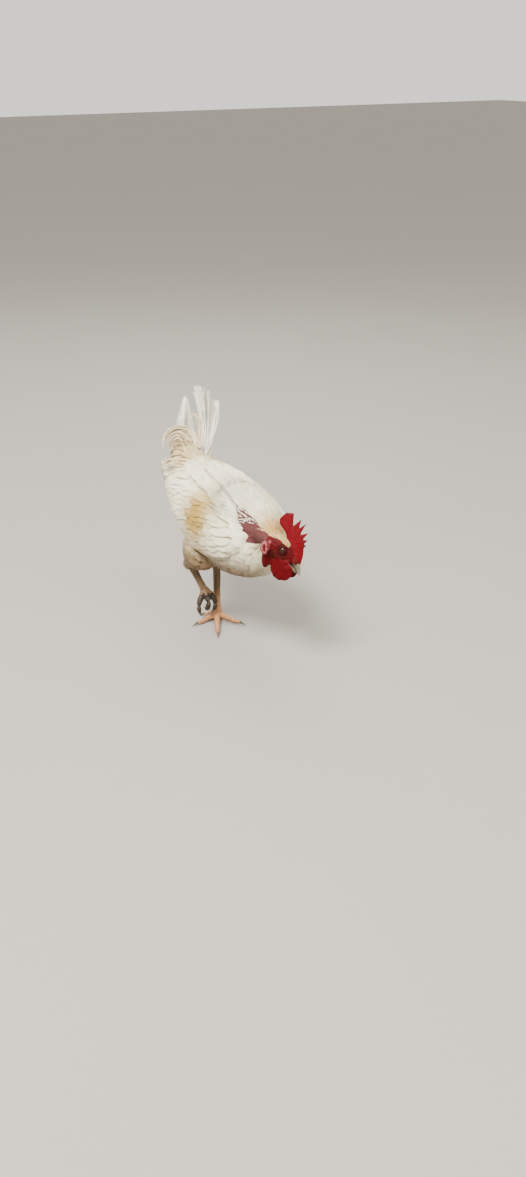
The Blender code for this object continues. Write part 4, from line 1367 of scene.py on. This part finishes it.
def scutes():
    """Plates down the front of each shank and along the top of each toe, and small scales beside them."""
    for side, _ in SIDES:
        coat = Coat("scales_" + side)
        points = welded("shank_" + side)[0]
        foot = points[points[:, 2] < points[:, 2].min() + 0.012].mean(0)
        hock = hocks[side]
        down = unit(foot - hock)
        toe = centre_of(f"toe_{side}_middle") - foot
        front = unit(toe - down * (toe @ down))
        across = np.cross(down, front)
        for turn, gap, half, lag in SHANK_ROWS:
            angle = math.radians(turn)
            out = front * math.cos(angle) + across * math.sin(angle)
            along = np.arange(0.004, np.linalg.norm(foot - hock) + 0.003, gap) + lag * gap
            starts = hock + down * along[:, None] + out * SHANK_RAY
            spots, _, owner = touch(struck(starts, np.tile(-out, (len(along), 1)), SHANK_RAY)[0])
            spots = spots[begins(owner, "shank")]
            plates(coat, spots, down, gap * 1.25, half, leg_tones(spots, side), unrolled(spots, hock, foot))
        for name in TOES:
            line, _, _ = shaft_line(f"toe_{side}_{name}", 9, foot)
            grip = np.mean([centre_of(f"claw_{side}_{n}") for n in TOES], 0)
            count = int(length_of(np.diff(line, axis=0)).sum() / TOE_SCALE_GAP)
            middles = read_off(line, shares(9), (np.arange(count) + 0.6) / count)
            ways = unit(np.gradient(middles, axis=0))
            tops = np.tile((0.0, 0.0, 1.0), (count, 1)) if side == "left" else unit(middles - grip)
            tops = unit(tops - ways * np.sum(tops * ways, 1, keepdims=True))
            sides = np.cross(ways, tops)
            for turn, half in TOE_ROWS:
                angle = math.radians(turn)
                outs = tops * math.cos(angle) + sides * math.sin(angle)
                spots, kept = struck(middles + outs * TOE_RAY, -outs, TOE_RAY + 0.002)
                if not len(kept):
                    continue
                keep = touch(spots)[2] == f"toe_{side}_{name}"
                plates(coat, spots[keep], ways[kept[keep]], TOE_SCALE_LENGTH, half,
                       FOOT_ORANGE if side == "left" else TOE_GREY, unrolled(spots[keep], hock, foot))
        coat.build("scale", slot="leg_skin", layer="Scale")


# ---------------------------------------------------------------- long feathers of the tail
SHOWN_SIDE = (-0.56, -0.83, 0.0)        # the side of the tail that its twisted feathers show
TAIL_TWIST = np.radians((-38, -28, -24, -34, -42, -10, 0))
LINE_ROWS = 12                          # places at which a long solid is measured


def shaft_line(name, stops, near=None):
    """A long solid from its root to its tip: its middle line, the way its flat side faces, half widths.

    The root is the end by the tail's base, or by the place that `near` gives.
    """
    points, faces = welded(name)
    one, two = edges_of(faces).T
    spans = length_of(points[one] - points[two])
    gone = np.full(len(points), np.inf)
    gone[length_of(points - (tail_base if near is None else near)).argmin()] = 0
    for _ in range(len(points)):
        fresh = gone.copy()
        np.minimum.at(fresh, one, gone[two] + spans)
        np.minimum.at(fresh, two, gone[one] + spans)
        if np.allclose(fresh, gone):
            break
        gone = fresh
    tip = points[gone.argmax()]
    parts = shares(9)
    points = mix(points[one][:, None], points[two][:, None], parts[:, None]).reshape(-1, 3)
    gone = mix(gone[one][:, None], gone[two][:, None], parts).ravel()
    bins = np.linspace(0, gone.max(), LINE_ROWS)
    weights = [np.exp(-((gone - stop) / (gone.max() * 0.045)) ** 2) for stop in bins]
    middles = np.array([(points * weight[:, None]).sum(0) / weight.sum() for weight in weights])
    widths, flats = [], []
    for k, stop in enumerate(bins):
        away = points[np.abs(gone - stop) < gone.max() * 0.075] - middles[k]
        along = unit(middles[min(k + 1, LINE_ROWS - 1)] - middles[max(k - 1, 0)])
        away = away - (away @ along)[:, None] * along
        widest = away[length_of(away).argmax()]
        widths.append(np.linalg.norm(widest))
        flats.append(unit(np.cross(widest, along)))
    flats, widths = np.array(flats), np.array(widths)
    flat = unit((flats * np.sign(flats @ flats[5])[:, None]).mean(0))
    known, share = shares(LINE_ROWS), shares(stops)
    line = read_off(middles, known, share)
    for _ in range(3):
        evened(line)
    line[-1] = mix(line[-1], tip, 0.9)
    evened(widths)
    return line, flat, np.interp(share, known, widths)


def along_and_up(line, flat):
    """The heading at each row of a line, and the way up that is nearest to the flat side's."""
    ahead = unit(np.gradient(line, axis=0))
    return ahead, unit(flat - ahead * (ahead @ flat)[:, None])


def plume(coat, line, flat, widths, tone, where, *, gap=0.0006, open_tip=0.25, lean=0.95, twist=0.0,
          web=0.72):
    """A long feather: a horny shaft, and barbs along both sides that part towards the tip."""
    half = widths.max()
    length = length_of(np.diff(line, axis=0)).sum()
    count = len(line)
    line = read_off(line, shares(count), np.linspace(0, 1 - 0.60 * half / length, count))
    line = np.concatenate([line[:1] - unit(line[1] - line[0]) * 0.014, line])
    widths = np.concatenate([widths[:1], widths]) / half
    count += 1
    share = shares(count)
    ahead, up = along_and_up(line, flat)
    turn = (twist * smoothstep(0.15, 0.75, share))[:, None]
    up = up * np.cos(turn) + np.cross(ahead, up) * np.sin(turn)
    side = np.cross(ahead, up)
    close = 1 - 0.35 * smoothstep(0.86, 1.0, share)
    coat.add(line[None], up[None], np.array([0.00075]), where[None], tone[None], rows=count, columns=3,
             outline=lambda s: 1.0 - 0.8 * s, cup=-0.6, tip=0.0, thick=0.0012, shade=-0.02)
    coat.add(line[None], up[None], np.array([half * web]), where[None], tone[None], rows=2 * count, columns=9,
             outline=lambda s: np.interp(s, share, widths * close), cup=0.10, tip=0.05, ragged=0.05,
             wave=0.04, shade=0.0)
    number = int(length * 0.98 / gap)
    clump = np.cumsum(rng.normal(size=number)) * 0.12
    clump -= shares(number) * clump[-1]
    step = shares(5)[:, None]
    for sign in (-1.0, 1.0):
        at = 0.02 + 0.98 * (np.arange(number) + rng.random(number)) / number
        base = read_off(line, share, at)
        way, out = unit(read_off(ahead, share, at)), unit(read_off(side, share, at)) * sign
        over = np.cross(out, way) * -sign
        full = np.interp(at, share, widths)
        angle = mix(lean, 0.34, at) + wobble(0.05, number)
        gape = open_tip * smoothstep(0.45, 1.0, at)
        angle = angle + gape * np.sin(7 * clump * sign + 3 * at)
        reach = half * full / np.sin(np.maximum(angle, 0.3)) * (1 - 0.35 * gape / 0.25 * rng.random(number))
        reach = np.minimum(reach, np.minimum(1.9 * half * full, (1 - at) * length + 0.62 * half))
        lift = reach * (0.10 + wobble(0.05, number))
        path = base[:, None]
        for heading, far, power in ((way, np.cos(angle) * reach, 1.15), (out, np.sin(angle) * reach, 0.85),
                                    (over, lift, 1)):
            path = path + (heading * far[:, None])[:, None] * step ** power
        coat.add(path, np.repeat(over[:, None], 5, 1), np.full(number, gap * 1.1),
                 np.tile(where, (number, 1)), varied(np.tile(tone, (number, 1)), 0.03), rows=5, columns=3,
                 outline=lambda s: 1 - 0.7 * s ** 2, cup=0.0, tip=0.0, thick=0.00018, shade=0.0)


def strands(coat, line, flat, widths, tone, where, number, starts, ends, loose, half):
    """Narrow feathers that run along a long one, loose beside it and in front of it."""
    share = shares(len(line))
    ahead, up = along_and_up(line, flat)
    begin = rng.uniform(*starts, number)[:, None]
    stop = rng.uniform(*ends, number)[:, None]
    at = begin + (stop - begin) * shares(9)
    pull = (at - begin) ** 0.7
    aside = rng.uniform(-1, 1, number)[:, None] * np.interp(at, share, widths) * (0.7 + loose * pull)
    before = rng.normal(size=number)[:, None] * (0.0006 + 0.0022 * loose * pull)
    ups = read_off(up, share, at)
    shaft = read_off(line, share, at) + read_off(np.cross(ahead, up), share, at) * aside[..., None] \
        + ups * before[..., None]
    tones = varied(mix(tone, CREAM, 0.35 * rng.random((number, 1))), 0.05)
    coat.add(shaft, ups, half * rng.uniform(0.7, 1.3, number), np.tile(where, (number, 1)), tones, rows=12,
             columns=5, outline=lance, tip=0.3, ragged=0.08, wave=0.10, cup=0.15,
             roll=wobble(0.5, number), shade=0.12)


def tail_coat():
    """The long feathers of the tail: one for each solid, in its own shape, with looser ones about it."""
    coat = Coat("tail_plumes")
    for k, name in enumerate(TAIL_PLUMES):
        line, flat, widths = shaft_line(name, 26)
        twist = TAIL_TWIST[k % len(TAIL_TWIST)] * np.sign(flat @ unit(np.array(SHOWN_SIDE)))
        feather = (varied(TAIL_WHITE[None], 0.02)[0], np.array((0.1 + 0.1 * k, 0.4)))
        flare = 1.15 + 0.45 * smoothstep(0.45, 1.0, shares(len(widths)))
        plume(coat, line, flat, widths * flare, *feather, open_tip=0.55, twist=twist)
        strands(coat, line, flat, widths, *feather, 14, (0.0, 0.10), (0.30, 0.75), 0.8, 0.0020)
        strands(coat, line, flat, widths, *feather, 9, (0.35, 0.60), (0.94, 1.0), 1.3, 0.0016)
    coat.build("plume", *TAIL_PLUMES)
    coat = Coat("sickle_plumes")
    for k, name in enumerate(SICKLES):
        line, flat, widths = shaft_line(name, 32)
        feather = (varied(mix(WHITE, CREAM, 0.40)[None], 0.02)[0], np.array((0.1 + 0.2 * k, 0.8)))
        plume(coat, line, flat, widths, *feather, open_tip=0.35, gap=0.0009, web=0.45, lean=0.7)
        strands(coat, line, flat, widths, *feather, 16, (0.0, 0.35), (0.60, 0.98), 1.0, 0.0011)
    coat.build("plume", *SICKLES)


for dress in (coat_of_body, coat_of_neck, coat_of_thighs, tail_coat, bristles, horn, eyes, scutes):
    dress()

# ---------------------------------------------------------------- stage and camera
CAMERA_PLACE = (-1.0339, -1.6716, 0.900)
CAMERA_HEADING, CAMERA_PITCH = 56.0, -23.3     # degrees from +X towards +Y, and above the horizon
CAMERA_LENS = 39.15
FLOOR_HALF = 14.0
FLOOR_TONES = ((0.275, 0.250, 0.215, 1.0), (0.29, 0.267, 0.232, 1.0))
SKY, SKY_STRENGTH = (1.0, 0.965, 0.905, 1), 1.25
# each soft light round the bird: degrees from straight ahead towards its left, height, width and power
LIGHTS = (("key", -62, 2.6, 1.1, 262), ("fill", 10, 1.7, 1.6, 34), ("back", 150, 2.0, 1.4, 46))
LIGHT_AWAY, LIGHT_AIM = 1.7, Vector((0, 0, 0.2))


def build_stage():
    mesh = bpy.data.meshes.new("floor")
    corners = [(x * FLOOR_HALF, y * FLOOR_HALF, 0) for x, y in ((-1, -1), (1, -1), (1, 1), (-1, 1))]
    mesh.from_pydata(corners, [], [(0, 1, 2, 3)])
    floor = placed("floor", mesh)
    shader = Shader("floor", 0.85)
    shader.look(shader.blend(shader.speckle(3.0, 2), *FLOOR_TONES))
    mesh.materials.append(shader.material)

    world = bpy.data.worlds.new("studio")
    world.use_nodes = True
    world.node_tree.nodes["Background"].inputs["Color"].default_value = SKY
    world.node_tree.nodes["Background"].inputs["Strength"].default_value = SKY_STRENGTH
    bpy.context.scene.world = world
    for name, azimuth, height, width, power in LIGHTS:
        lamp = bpy.data.lights.new(name, "AREA")
        lamp.shape = "SQUARE"
        lamp.size = width
        lamp.energy = power
        light = placed(name, lamp)
        turn = math.radians(azimuth)
        light.location = (LIGHT_AWAY * math.sin(turn), -LIGHT_AWAY * math.cos(turn), height)
        light.rotation_euler = (LIGHT_AIM - light.location).to_track_quat("-Z", "Y").to_euler()


def build_camera():
    lens = bpy.data.cameras.new("camera")
    lens.lens = CAMERA_LENS
    lens.clip_end = 60
    camera = placed("camera", lens)
    camera.location = CAMERA_PLACE
    camera.rotation_euler = (math.radians(90 + CAMERA_PITCH), 0, math.radians(CAMERA_HEADING - 90))
    bpy.context.scene.camera = camera


build_stage()
build_camera()
